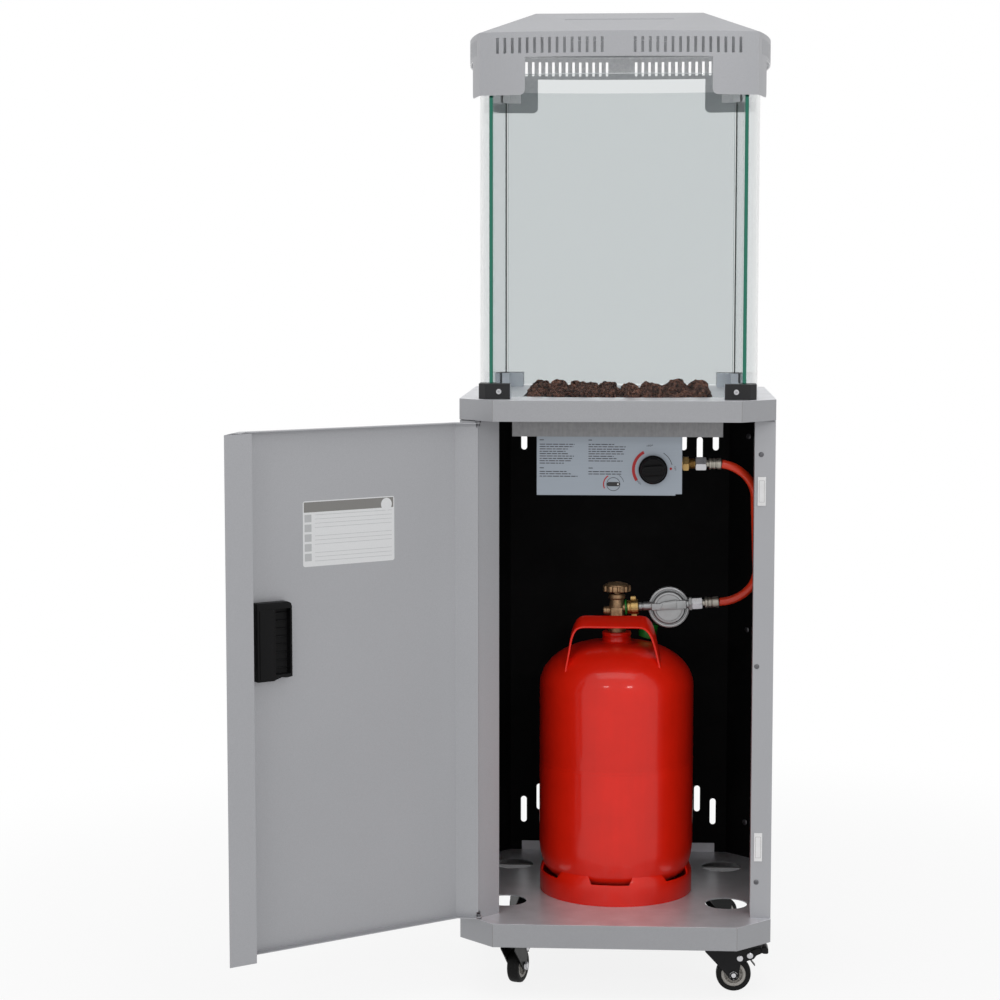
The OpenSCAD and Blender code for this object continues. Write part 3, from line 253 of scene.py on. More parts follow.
class Finish(Nodes):
    """A material in the making. Patterns are measured in metres on the piece itself."""

    def __init__(self, name, colour=(0.5, 0.5, 0.5), roughness=0.5, **fixed):
        self.material = bpy.data.materials.new(name)
        self.material.use_nodes = True
        super().__init__(self.material.node_tree)
        self.shader = self.tree.nodes["Principled BSDF"]
        self.place = self.node("ShaderNodeTexCoord", output="Object")
        self.put("Base Color", colour)
        self.put("Roughness", roughness)
        for socket, value in fixed.items():
            self.put(socket.replace("_", " ").title().replace("Ior", "IOR"), value)

    def put(self, socket, value):
        self.feed(self.shader.inputs[socket], value)

    def mixed_with(self, other, factor):
        """Shows another shader in the place of this one where the factor is 1."""
        mix = self.node("ShaderNodeMixShader", inputs={
            0: factor, 1: Wire(self, self.shader.outputs[0]), 2: other,
        })
        self.feed(self.tree.nodes["Material Output"].inputs["Surface"], mix)

    def along(self, axis):
        split = self.node("ShaderNodeSeparateXYZ", inputs={0: self.place})
        return Wire(self, split.socket.node.outputs["XYZ".index(axis)])

    def stretched(self, x, y, z):
        return self.node("ShaderNodeMapping", inputs={"Vector": self.place, "Scale": (x, y, z)})

    def noise(self, scale, detail=2.0, roughness=0.5, place=None):
        return self.node("ShaderNodeTexNoise", inputs={
            "Vector": place or self.place, "Scale": scale, "Detail": detail, "Roughness": roughness,
        })

    def cells(self, scale):
        return self.node("ShaderNodeTexVoronoi", inputs={"Vector": self.place, "Scale": scale})

    def blend(self, factor, first, second):
        return self.node(
            "ShaderNodeMix", {"data_type": "RGBA"}, {0: factor, 6: first, 7: second}, output=2
        )

    def shade(self, factor, colour, low, high):
        """The colour, darkened to low times itself at 0 and lightened to high times itself at 1."""
        return self.blend(factor, [c * low for c in colour], [min(1, c * high) for c in colour])

    def relief(self, height, depth, strength=1.0):
        self.put("Normal", self.node(
            "ShaderNodeBump", inputs={"Height": height, "Distance": depth, "Strength": strength}
        ))


def silver_coat(colour, name="silver_coat", gloss=0.40, top=None, inside=None):
    """Silver powder coat: fine metallic flakes and a faint orange peel.

    Above the height top it is smoother, and painted paler: painted light on the top faces. The colour inside
    is on faces that look inwards.
    """
    f = Finish(name, metallic=0.45)
    flakes = f.noise(1500, 1)
    cloud = f.noise(7, 3)
    coat = f.shade(flakes.between(0.32, 0.68) * 0.6 + cloud * 0.4, colour, 0.90, 1.10)
    rough = gloss + 0.10 * flakes + 0.06 * cloud
    if top:
        # Painted light: above the height top the coat is painted up to twice as pale, with a mottle, and
        # made smoother
        painted_top_light = f.along("Z").between(top - 0.0004, top - 0.0001)
        top_mottle = f.noise(30, 4, 0.6)
        coat = f.blend(painted_top_light, coat, f.shade(top_mottle, colour, 1.5, 2.3))
        rough = rough - painted_top_light * (0.20 - 0.12 * top_mottle)
    if inside:
        # Partly painted light: the inward faces are bare steel, painted near white, paler than their own
        # colour, to stand in for light they catch
        face = f.node("ShaderNodeNewGeometry", output="Normal")
        outward = f.node(
            "ShaderNodeVectorMath", {"operation": "DOT_PRODUCT"}, {0: face, 1: f.place}, output=1
        )
        inward = (outward < 0) * (f.along("Z") < HOOD_ROOF_M)
        coat = f.blend(inward, coat, f.shade(f.noise(220, 3, 0.6), inside, 0.75, 1.2))
        f.put("Metallic", 0.45 + 0.55 * inward)
    f.put("Base Color", coat)
    f.put("Roughness", rough)
    f.relief(f.noise(900, 2), 0.00006, 0.35)
    return f.material


def black_coat(colour):
    """Black coat inside the cabinet, with dust lying in its grain."""
    f = Finish("black_coat", specular_ior_level=0.12)
    grain = f.noise(1100, 2)
    dust = f.noise(26, 4, 0.6)
    f.put("Base Color", f.blend(dust.between(0.55, 0.9) * 0.35, colour, [c * 3 for c in colour]))
    f.put("Roughness", 0.55 + 0.2 * dust)
    f.relief(grain, 0.00008, 0.4)
    return f.material


def bracket_coat():
    """Black coat of the glass brackets, bare steel on the faces that clamp the panes from inside."""
    f = Finish("bracket_coat", specular_ior_level=0.3)
    grain = f.noise(1100, 2)
    across, deep = f.along("X").size(), f.along("Y").size()
    bare = ((across.most(deep) < BRACKET_INNER_M) + (across.least(deep) < BRACKET_ARM_M)).least(1)
    black = f.blend(grain, (0.008, 0.008, 0.009), (0.02, 0.02, 0.022))
    f.put("Base Color", f.blend(bare, black, f.blend(grain, (0.50, 0.53, 0.58), (0.66, 0.69, 0.74))))
    f.put("Roughness", 0.4 + 0.15 * grain)
    f.relief(grain, 0.00006, 0.3)
    return f.material


def galvanised():
    """Dull galvanised sheet with a fine grain and faint crystals."""
    f = Finish("galvanised_sheet", metallic=0.4)
    spangle = f.cells(160)
    streak = f.noise(300, 3, 0.6, f.stretched(1, 1, 0.25))
    f.put("Base Color", f.blend(
        spangle * 0.25 + streak * 0.75, (0.22, 0.22, 0.225), (0.40, 0.40, 0.41)
    ))
    f.put("Roughness", 0.42 + 0.2 * streak)
    f.relief(streak, 0.00004, 0.3)
    return f.material


def steel(name, colour, roughness, wear=0.1):
    """Plated steel with fine turning marks and handling wear."""
    f = Finish(name, metallic=1.0)
    marks = f.noise(900, 2)
    smear = f.noise(90, 3)
    f.put("Base Color", f.shade(smear, colour, 0.82, 1.12))
    f.put("Roughness", roughness + wear * marks + wear * smear)
    f.relief(marks, 0.00003, 0.3)
    return f.material


def aged_brass(colour):
    """Cast brass gone brown, with dark grime in its hollows and rubbed high spots."""
    f = Finish("aged_brass", metallic=0.85)
    grime = f.noise(260, 4, 0.65)
    rub = f.noise(60, 3)
    f.put("Base Color", f.node(
        "ShaderNodeValToRGB",
        {"stops": [
            (0.25, [c * 0.35 for c in colour]), (0.5, colour), (0.8, [min(1, c * 1.9) for c in colour]),
        ]},
        {"Fac": grime * 0.65 + rub * 0.4},
    ))
    f.put("Roughness", 0.62 - 0.25 * rub)
    f.relief(grime, 0.0003, 0.6)
    return f.material


def bright_brass(colour):
    f = Finish("bright_brass", metallic=1.0)
    tarnish = f.noise(170, 3, 0.6)
    f.put("Base Color", f.shade(tarnish, colour, 0.6, 1.2))
    f.put("Roughness", 0.22 + 0.28 * tarnish)
    f.relief(f.noise(1200, 2), 0.00004, 0.3)
    return f.material


def cast_alloy():
    """Pressure-cast zinc of the regulator."""
    f = Finish("cast_alloy", metallic=0.9)
    grain = f.noise(800, 3, 0.6)
    cloud = f.noise(70, 3)
    f.put("Base Color", f.blend(cloud * 0.7 + grain * 0.3, (0.24, 0.243, 0.248), (0.46, 0.465, 0.47)))
    f.put("Roughness", 0.36 + 0.14 * grain)
    f.relief(grain, 0.00012, 0.4)
    return f.material


def gloss_red(colour):
    """Thick gloss paint over steel sheet: ripples, fine scratches and rubbed patches."""
    f = Finish("gloss_red", specular_ior_level=0.15, coat_weight=0.5, coat_roughness=0.11)
    scratch = f.noise(120, 4, 0.6, f.stretched(1, 1, 0.06))
    patch = f.noise(16, 4, 0.55)
    f.put("Base Color", f.shade(patch * 0.75 + scratch * 0.25, colour, 0.78, 1.16))
    f.put("Roughness", 0.34 + 0.22 * scratch.between(0.55, 0.8) + 0.08 * patch)
    f.relief(f.noise(42, 2) + 0.12 * f.noise(600, 2), 0.00025, 0.16)
    return f.material


def hose_rubber(colour):
    """Extruded orange-red rubber with faint lengthwise die lines."""
    f = Finish("hose_rubber", specular_ior_level=0.5)
    mottle = f.noise(120, 3)
    f.put("Base Color", f.shade(mottle, colour, 0.86, 1.1))
    f.put("Roughness", 0.24 + 0.14 * mottle)
    f.relief(f.noise(700, 2), 0.00006, 0.3)
    return f.material


def moulded(name, colour, roughness=0.42, grain_depth=0.00012, shine=0.5):
    """Moulded plastic with a spark-eroded grain."""
    f = Finish(name, specular_ior_level=shine)
    grain = f.noise(1300, 2)
    bloom = f.noise(45, 3)
    f.put("Base Color", f.shade(bloom, colour, 0.85, 1.35))
    f.put("Roughness", roughness + 0.15 * bloom)
    f.relief(grain, grain_depth, 0.35)
    return f.material


def tyre_rubber():
    f = Finish("tyre_rubber", specular_ior_level=0.2)
    dust = f.noise(150, 4, 0.65)
    f.put("Base Color", f.blend(dust.between(0.5, 0.8) * 0.5, (0.005, 0.005, 0.005), (0.024, 0.023, 0.021)))
    f.put("Roughness", 0.5 + 0.3 * dust)
    f.relief(f.noise(1600, 2), 0.0001, 0.4)
    return f.material


def lava_stone(colour):
    """Porous lava: open bubbles, rusty and grey patches."""
    f = Finish("lava_stone", specular_ior_level=0.25)
    pores = f.cells(330)
    small_pores = f.cells(900)
    patch = f.noise(38, 4, 0.6)
    speckle = f.noise(230, 4, 0.7).between(0.38, 0.62)
    tone = patch.between(0.3, 0.7) * 0.28 + speckle * 0.58 + pores * 0.15
    f.put("Base Color", f.node(
        "ShaderNodeValToRGB",
        {"stops": [
            (0.12, (0.012, 0.007, 0.006)), (0.40, [c * 0.4 for c in colour]),
            (0.66, colour), (0.92, [min(1, c * 2.2) for c in colour]),
        ]},
        {"Fac": tone},
    ))
    f.put("Roughness", 0.88 + 0.1 * patch)
    f.relief(pores.between(0.1, 0.6) + small_pores * 0.5, 0.003)
    return f.material


def clear_glass(colour):
    """Toughened pane glass, dark green on its upright end faces."""
    f = Finish("clear_glass", colour, 0.0, transmission_weight=1.0, ior=1.18)
    end = f.along("X").size().least(f.along("Y").size()).between(PANE_END_M - 0.0004, PANE_END_M)
    f.put("Base Color", f.blend(end, colour, (0.035, 0.17, 0.12)))
    f.put("Metallic", end)
    f.put("Roughness", 0.012 * f.noise(14, 3).between(0.45, 0.85))
    pale = f.node("ShaderNodeBsdfTransparent", inputs={"Color": [c ** 0.25 for c in colour]})
    f.mixed_with(pale, f.node("ShaderNodeLightPath", output="Is Shadow Ray"))
    return f.material


def panel_coat(colour):
    """Blue-grey coat of the control panel, lightly brushed under its lacquer."""
    f = Finish("panel_coat", metallic=0.3)
    brush = f.noise(500, 3, 0.6, f.stretched(0.05, 1, 1))
    cloud = f.noise(9, 3)
    f.put("Base Color", f.shade(brush * 0.5 + cloud * 0.5, colour, 0.9, 1.1))
    f.put("Roughness", 0.34 + 0.12 * brush)
    f.relief(brush, 0.00003, 0.3)
    return f.material


def ink(name, colour):
    f = Finish(name)
    mesh = f.noise(2600, 1)
    f.put("Base Color", f.shade(mesh, colour, 0.85, 1.15))
    f.put("Roughness", 0.5 + 0.1 * mesh)
    return f.material


FINISHES = {}


def mix_finishes():
    c = bpy.context.scene.heater_colours
    FINISHES.update(
        silver=silver_coat(tuple(c.silver)),
        # Painted shade: the tray, deck and hood coats are darker copies of the silver coat, the tray
        # darkest, low down
        tray=silver_coat([0.86 * v for v in c.silver], "tray_coat", top=TRAY_TOP_M),
        deck=silver_coat([0.88 * v for v in c.silver], "deck_coat", top=DECK_TOP_M),
        # The hood's inside colour is painted light: near white on its inward faces
        hood=silver_coat([0.94 * v for v in c.silver], "hood_coat", inside=(0.93, 0.93, 0.96)),
        bracket=bracket_coat(),
        black_coat=black_coat(tuple(c.black)),
        galvanised=galvanised(),
        steel=steel("bright_steel", (0.60, 0.60, 0.62), 0.20),
        dark_steel=steel("dark_steel", (0.16, 0.16, 0.17), 0.36),
        ferrule=steel("crimped_ferrule", (0.40, 0.375, 0.33), 0.34),
        grate=steel("scaled_steel", (0.22, 0.20, 0.19), 0.5, 0.2),
        bronze=aged_brass(tuple(c.bronze)),
        brass=bright_brass(tuple(c.brass)),
        alloy=cast_alloy(),
        red=gloss_red(tuple(c.red)),
        hose=hose_rubber(tuple(c.hose)),
        black_plastic=moulded("black_plastic", (0.005, 0.005, 0.0055), 0.38, shine=0.12),
        fork_black=moulded("fork_enamel", (0.007, 0.007, 0.008), 0.30, 0.00005, 0.18),
        white_plastic=moulded("white_plastic", (0.86, 0.86, 0.87), 0.4, 0.00004),
        green=moulded("green_plastic", (0.008, 0.20, 0.022), 0.34),
        tyre=tyre_rubber(),
        rim=moulded("rim_plastic", (0.42, 0.40, 0.37), 0.45),
        lava=lava_stone(tuple(c.lava)),
        glass=clear_glass(tuple(c.glass)),
        panel=panel_coat(tuple(c.panel)),
        ink_red=ink("red_ink", (0.45, 0.012, 0.014)),
        ink_black=ink("black_ink", (0.022, 0.022, 0.024)),
        # The grey ink prints the label's header, and also paints the shadow lines at the skirts' seams
        ink_grey=ink("grey_ink_and_shadow", (0.235, 0.23, 0.22)),
        ink_pale=ink("pale_ink", (0.52, 0.53, 0.54)),
        label=ink("label_film", (0.79, 0.80, 0.81)),
    )


# Tools of the workshop


def alone(*objects):
    """Selects these objects and nothing else."""
    if bpy.context.object and bpy.context.object.mode != "OBJECT":
        bpy.ops.object.mode_set(mode="OBJECT")
    bpy.ops.object.select_all(action="DESELECT")
    for o in objects:
        o.select_set(True)
    if objects:
        bpy.context.view_layer.objects.active = objects[-1]


def fresh(name):
    """Names the primitive that was just added."""
    o = bpy.context.object
    o.name = name
    o.data.name = name
    return o


def editing(o):
    alone(o)
    bpy.ops.object.mode_set(mode="EDIT")
    bpy.ops.mesh.select_all(action="SELECT")


def done_editing():
    bpy.ops.object.mode_set(mode="OBJECT")


def settle(o):
    """Moves the object's place, turn and size into its mesh."""
    alone(o)
    bpy.ops.object.transform_apply(location=True, rotation=True, scale=True)
    return o


def placed(o, matrix):
    o.matrix_world = matrix @ o.matrix_world
    return settle(o)


def smooth(o, angle=32):
    alone(o)
    bpy.ops.object.shade_smooth_by_angle(angle=math.radians(angle))
    return o


def modified(o, kind, **settings):
    alone(o)
    m = o.modifiers.new(kind.title(), kind)
    for key, value in settings.items():
        setattr(m, key, value)
    bpy.ops.object.modifier_apply(modifier=m.name)
    return o


def rounded(o, width, segments=2, angle=35):
    return modified(
        o, "BEVEL", width=width * MM, segments=segments, limit_method="ANGLE",
        angle_limit=math.radians(angle),
    )


def less(o, cutter):
    modified(o, "BOOLEAN", operation="DIFFERENCE", object=cutter, solver="EXACT")
    bpy.data.objects.remove(cutter)
    return o


def joined(name, *parts):
    alone(*parts)
    if len(parts) > 1:
        bpy.ops.object.join()
    return fresh(name)


def again(o, name, matrix):
    """A copy with a mesh of its own, moved by the matrix."""
    alone(o)
    bpy.ops.object.duplicate(linked=False)
    copy = fresh(name)
    return placed(copy, matrix)


def one_vertex(place):
    """Leaves a single vertex at the place, in edit mode."""
    alone()
    bpy.ops.mesh.primitive_plane_add(size=MM)
    bpy.ops.object.mode_set(mode="EDIT")
    bpy.ops.mesh.select_all(action="SELECT")
    bpy.ops.mesh.merge(type="CENTER")
    bpy.ops.transform.translate(value=place)


def stepped(points, plane="XZ"):
    """Draws a chain of edges: one vertex, pushed on from point to point."""
    spots = [Vector((p[0], 0, p[1]) if plane == "XZ" else (p[0], p[1], 0)) * MM for p in points]
    one_vertex(spots[0])
    for here, there in zip(spots, spots[1:]):
        bpy.ops.mesh.extrude_vertices_move(TRANSFORM_OT_translate={"value": there - here})


def turned(name, profile, steps=64, angle=32):
    """Lathe work: the profile of (radius, height) points is spun round Z."""
    stepped(profile)
    bpy.ops.mesh.select_all(action="SELECT")
    bpy.ops.mesh.spin(steps=steps, angle=math.tau, center=(0, 0, 0), axis=(0, 0, 1))
    bpy.ops.mesh.select_all(action="SELECT")
    bpy.ops.mesh.remove_doubles(threshold=0.000004)
    bpy.ops.mesh.normals_make_consistent(inside=False)
    done_editing()
    return smooth(fresh(name), angle)


def plate(name, outline, low, high, plane="XY"):
    """Sheet or block work: a flat outline is filled and drawn out from low to high along its normal."""
    stepped(outline, plane)
    bpy.ops.mesh.select_all(action="SELECT")
    bpy.ops.mesh.edge_face_add()
    up = Vector((0, 0, MM) if plane == "XY" else (0, MM, 0))
    bpy.ops.transform.translate(value=up * low)
    bpy.ops.mesh.extrude_region_move(TRANSFORM_OT_translate={"value": up * (high - low)})
    bpy.ops.mesh.select_all(action="SELECT")
    bpy.ops.mesh.normals_make_consistent(inside=False)
    done_editing()
    return fresh(name)


def block(name, low, high, bevel=0.0, segments=2):
    """A block between two corners, its edges rounded."""
    low, high = Vector(low), Vector(high)
    alone()
    bpy.ops.mesh.primitive_cube_add(size=1, location=(low + high) / 2 * MM)
    o = fresh(name)
    o.scale = (high - low) * MM
    settle(o)
    return smooth(rounded(o, bevel, segments)) if bevel else o


def rod(name, radius, start, end, sides=32, bevel=0.0):
    """A round bar from one point to another, its ends chamfered."""
    start, end = Vector(start) * MM, Vector(end) * MM
    alone()
    bpy.ops.mesh.primitive_cylinder_add(vertices=sides, radius=radius * MM, depth=(end - start).length)
    o = fresh(name)
    o.matrix_world = Matrix.Translation((start + end) / 2) @ (
        (end - start).to_track_quat("Z", "Y").to_matrix().to_4x4()
    )
    settle(o)
    if bevel:
        rounded(o, bevel)
    return smooth(o)


def rounded_line(points, radius, steps):
    """The line with its corners rounded to that radius."""
    line = [Vector(p) for p in points]
    out = [line[0]]
    for before, corner, after in zip(line, line[1:], line[2:]):
        a, b = (before - corner).normalized(), (after - corner).normalized()
        half = a.angle(b) / 2
        cut = min(radius / math.tan(half), (before - corner).length * 0.49, (after - corner).length * 0.49)
        r = cut * math.tan(half)
        centre = corner + (a + b).normalized() * (r / math.sin(half))
        p, q = corner + a * cut, corner + b * cut
        for i in range(steps + 1):
            t = i / steps
            d = (p - centre).lerp(q - centre, t)
            out.append(centre + d.normalized() * r)
    out.append(line[-1])
    return out


def arc(radius, start, end, steps, x=0.0, y=0.0):
    """Points along an arc between two angles in degrees, both ends included."""
    angles = [math.radians(start + (end - start) * i / steps) for i in range(steps + 1)]
    return [(x + radius * math.cos(a), y + radius * math.sin(a)) for a in angles]


def ribs(name, low, high, bevel, count, start=0.0):
    """Like blocks, spaced evenly round Z."""
    return [placed(block(name, low, high, bevel), spun(start + 360 * i / count)) for i in range(count)]


def at(x, y, z):
    return Matrix.Translation(Vector((x, y, z)) * MM)


def spun(degrees, axis="Z"):
    return Matrix.Rotation(math.radians(degrees), 4, axis)


def upright(x, y, z, turn=0.0):
    return at(x, y, z) @ spun(turn)


def facing_front(x, y, z):
    """Frame whose Z points at the viewer in front."""
    return at(x, y, z) @ spun(90, "X")


def outlet_frame():
    """Frame at the bottle's valve, its X along the line to the hose."""
    return at(*OUTLET) @ spun(-OUTLET_TILT, "Y")


def along_outlet():
    """The same, with its Z along that line."""
    return outlet_frame() @ spun(90, "Y")


def along_inlet():
    """Frame on the panel's inlet, its Z along the line to the hose."""
    return at(*INLET) @ spun(90, "Y")


def opened_door():
    """Frame that swings what is modelled on the closed door to where the door stands."""
    x, y, _ = joint_place("door_hinge")
    return at(x, y, 0) @ spun(-DOOR_OPEN) @ at(-x, -y, 0)


def hand_over(o, finish, body="root", replaces=()):
    """Gives a finished piece its finish and its place in the frame."""
    o.data.materials.clear()
    o.data.materials.append(FINISHES[finish])
    if replaces:
        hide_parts(*replaces)
    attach(o, body)
    return o


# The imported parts


PACKED_FINISH = {
    "silver": ["left_post", "right_post", "rear_posts", "door_panel"],
    "tray": ["base_tray"],
    "deck": ["deck_plate"],
    "hood": ["hood"],
    "bracket": ["corner_brackets"],
    "black_coat": ["cabinet_shell"],
    "galvanised": ["burner_tray", "castor_rails"],
    "steel": ["castor_plates", "valve_stem", "hose_nuts", "bracket_screws", *each_castor("axle")],
    "dark_steel": ["pan_head_screws", "hinge_pins"],
    "ferrule": ["hose_ferrules"],
    "grate": ["rock_grate", "main_burner"],
    "fork_black": ["brake_pedal_fl", "brake_pedal_fr", *each_castor("fork")],
    "rim": each_castor("rim"),
    "tyre": each_castor("tyre"),
    "black_plastic": ["tilt_switch", "control_knob", "door_handle"],
    "white_plastic": ["strike_pads"],
    "panel": ["control_panel"],
    "lava": ["lava_rocks"],
    "brass": ["gas_valve", "inlet_fitting", "feed_pipe", "pilot_assembly", "union_nut"],
    "bronze": ["bottle_valve", "bottle_handwheel"],
    "alloy": ["regulator"],
    "red": ["bottle_body", "bottle_foot_ring", "bottle_handle"],
    "hose": ["gas_hose"],
    "green": ["dust_cap"],
    "glass": ["front_glass", "rear_glass", "left_glass", "right_glass"],
}

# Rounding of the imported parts' edges
ROUNDED_EDGES = {
    0.3: ["control_panel", "castor_plates"],
    0.4: ["strike_pads", "burner_tray", "cabinet_shell", "castor_rails", *each_castor("fork")],
    0.5: ["left_post", "right_post", "rear_posts", "door_panel", "hose_nuts"],
    0.6: ["hood", "front_glass", "rear_glass", "left_glass", "right_glass"],
    0.7: ["base_tray", "deck_plate"],
    0.8: ["tilt_switch", "brake_pedal_fl", "brake_pedal_fr"],
    0.9: ["corner_brackets"],
}


class HEATER_OT_packed_parts(bpy.types.Operator):
    """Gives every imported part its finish, and rounds the edges of sheets and blocks"""

    bl_idname = "heater.packed_parts"
    bl_label = "Packed Parts"

    def execute(self, context):
        mix_finishes()
        for finish, names in PACKED_FINISH.items():
            for name in names:
                node = NODES[name]
                if not node.material_slots:
                    raise RuntimeError(f"{name} has no material slot")
                for slot in node.material_slots:
                    slot.material = FINISHES[finish]
        for width, names in ROUNDED_EDGES.items():
            for name in names:
                self.round_edges(NODES[name], width)
        return {"FINISHED"}

    def round_edges(self, node, width):
        """Joins the triangles of flat faces and rounds the edges between them."""
        weld = node.modifiers.new("Weld", "WELD")
        weld.merge_threshold = 0.01 * MM
        flat = node.modifiers.new("Flat", "DECIMATE")
        flat.decimate_type = "DISSOLVE"
        flat.angle_limit = math.radians(0.2)
        bevel = node.modifiers.new("Bevel", "BEVEL")
        bevel.width = width * MM
        bevel.segments = 2
        bevel.limit_method = "ANGLE"
        bevel.angle_limit = math.radians(35)
        bevel.use_clamp_overlap = True
        shade = node.modifiers.new("WeightedNormal", "WEIGHTED_NORMAL")
        shade.keep_sharp = False
        shade.weight = 80


# Gas hose


def eased(points, steps):
    """A smooth line through the points."""
    ends = [points[0] * 2 - points[1], *points, points[-1] * 2 - points[-2]]
    line = []
    for p0, p1, p2, p3 in zip(ends, ends[1:], ends[2:], ends[3:]):
        for i in range(steps):
            t = i / steps
            line.append(0.5 * (
                2 * p1 + (p2 - p0) * t + (2 * p0 - 5 * p1 + 4 * p2 - p3) * t * t
                + (3 * p1 - p0 - 3 * p2 + p3) * t ** 3
            ))
    return line + [points[-1]]


class HEATER_OT_gas_hose(bpy.types.Operator):
    """Runs the gas hose from the inlet's ferrule to the regulator's"""

    bl_idname = "heater.gas_hose"
    bl_label = "Gas Hose"

    def execute(self, context):
        scene = context.scene
        line = eased([Vector(p) * MM for p in HOSE_ROUTE], 5)
        length = sum((b - a).length for a, b in zip(line, line[1:]))
        curve = bpy.data.curves.new("gas_hose_run", "CURVE")
        curve.dimensions = "3D"
        curve.bevel_depth = scene.heater_sizes.hose_diameter / 2
        curve.bevel_resolution = 8
        curve.use_fill_caps = True
        spline = curve.splines.new("POLY")
        spline.points.add(len(line) - 1)
        for point, place in zip(spline.points, line):
            point.co = (*place, 1)
        spline.use_smooth = True
        hose = bpy.data.objects.new("gas_hose_run", curve)
        scene.collection.objects.link(hose)
        hand_over(hose, "hose", replaces=["gas_hose"])
        return {"FINISHED"}


# Lava rocks


def blob(name, size, seed, detail):
    """One lump of lava: a ball pushed in and out by two clouds."""
    alone()
    bpy.ops.mesh.primitive_ico_sphere_add(subdivisions=detail, radius=size * MM)
    rock = fresh(name)
    rng = random.Random(seed)
    editing(rock)
    bpy.ops.transform.resize(value=(rng.uniform(0.85, 1.2), rng.uniform(0.8, 1.1), rng.uniform(0.65, 0.9)))
    done_editing()
    # Each seed takes its lump from another part of the clouds
    offset = Matrix.Translation((seed * 0.31, seed * 0.17, seed * 0.23))
    placed(rock, offset)
    for width, push in ((0.020, 0.012), (0.0065, 0.0062), (0.0028, 0.0022)):
        cloud = bpy.data.textures.new(f"lump_{seed}", "CLOUDS")
        cloud.noise_scale = width
        cloud.noise_depth = 2
        modified(
            rock, "DISPLACE", texture=cloud, strength=push, mid_level=0.5, texture_coords="GLOBAL"
        )
    placed(rock, offset.inverted())
    return smooth(rock, 60)


class HEATER_OT_lava_rocks(bpy.types.Operator):
    """Piles the lava rocks on the grate"""

    bl_idname = "heater.lava_rocks"
    bl_label = "Lava Rocks"

    # Rocks of the grid that stand highest, and how far the others stay under them, in metres
    high_spots = ((6, 1), (5, 3), (7, 4), (3, 6), (1, 3))
    sunk_m = 0.019
    bed_half = 130
    rock_pitch = 33
    chip_pitch = 26

    def tumbled(self, rng, size):
        turn = Matrix.Rotation(rng.uniform(0, 6.28), 4, (rng.uniform(-1, 1), rng.uniform(-1, 1), 1))
        return turn @ Matrix.Scale(size, 4)

    def kept_in(self, spot, radius):
        """The spot, moved in so that a lump of that radius stays on the bed."""
        reach = self.bed_half - radius
        return [max(-reach, min(reach, value)) for value in spot]

    def execute(self, context):
        scene = context.scene
        low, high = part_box("lava_rocks")
        rng = random.Random(scene.heater_sizes.rock_seed)
        kinds = [blob(f"lump_{i}", 12.5, i + 1, 3) for i in range(6)]
        pile = []
        for i in range(8):
            for j in range(8):
                kind = kinds[rng.randrange(6)]
                spot = [(n - 3.5) * self.rock_pitch + rng.uniform(-4, 4) for n in (i, j)]
                size = rng.uniform(0.9, 1.2)
                rock = again(kind, f"rock_{i}_{j}", self.tumbled(rng, size))
                heights = [v.co.z for v in rock.data.vertices]
                full = high.z if (i, j) in self.high_spots else high.z - self.sunk_m
                room = max(0.0, full - low.z - (max(heights) - min(heights)))
                rise = low.z - min(heights) + rng.uniform(0.4, 1) * room
                x, y = self.kept_in(spot, 14 * size)
                pile.append(placed(rock, at(x, y, rise / MM)))
        chips = [blob(f"chip_{i}", 7.5, i + 11, 4) for i in range(6)]
        for i in range(10):
            for j in range(10):
                size = rng.uniform(0.8, 1.45)
                pose = self.tumbled(rng, size)
                chip = again(chips[rng.randrange(6)], f"chip_{i}_{j}", pose)
                top = max(v.co.z for v in chip.data.vertices)
                spot = [(n - 4.5) * self.chip_pitch + rng.uniform(-6, 6) for n in (i, j)]
                x, y = self.kept_in(spot, 8.5 * size)
                rise = high.z - top - rng.uniform(0.0135, self.sunk_m)
                pile.append(placed(chip, at(x, y, rise / MM)))
        for kind in kinds + chips:
            bpy.data.objects.remove(kind)
        rocks = joined("lava_pile", *pile)
        hand_over(rocks, "lava", replaces=["lava_rocks"])
        return {"FINISHED"}


# Gas bottle


def bottle_side():
    """Half outline of the bottle, from the middle of its bottom to its neck."""
    low, depth, steps = TRAY_FLOOR_Z + 80, 58, 14
    neck_r, shoulder_low, shoulder_h = 21, 410, 64
    bottom = [(0.01, low - depth)]
    for i in range(steps + 1):
        a = -math.pi / 2 * (1 - (i + 0.6) / (steps + 0.6))
        bottom.append((BOTTLE_R * math.cos(a) ** 0.18, low + depth * math.sin(a)))
    seam = [(0, 296.2), (-0.2, 297.0), (0.05, 298.6), (0.05, 300.8), (-0.2, 302.4), (0, 303.2)]
    shoulder = [
        (neck_r + (BOTTLE_R - neck_r) * x, shoulder_low + shoulder_h * z) for x, z in arc(1, 0, 85, 17)
    ]
    neck = [
        (22.6, 473.7), (21.4, 474.8), (21, 476.4), (21, 479), (20.2, 480), (20.2, 482.2), (21, 483.2),
        (21, 486.4), (20.4, 488), (0.01, 488),
    ]
    return bottom + [(BOTTLE_R + out, z) for out, z in seam] + shoulder + neck


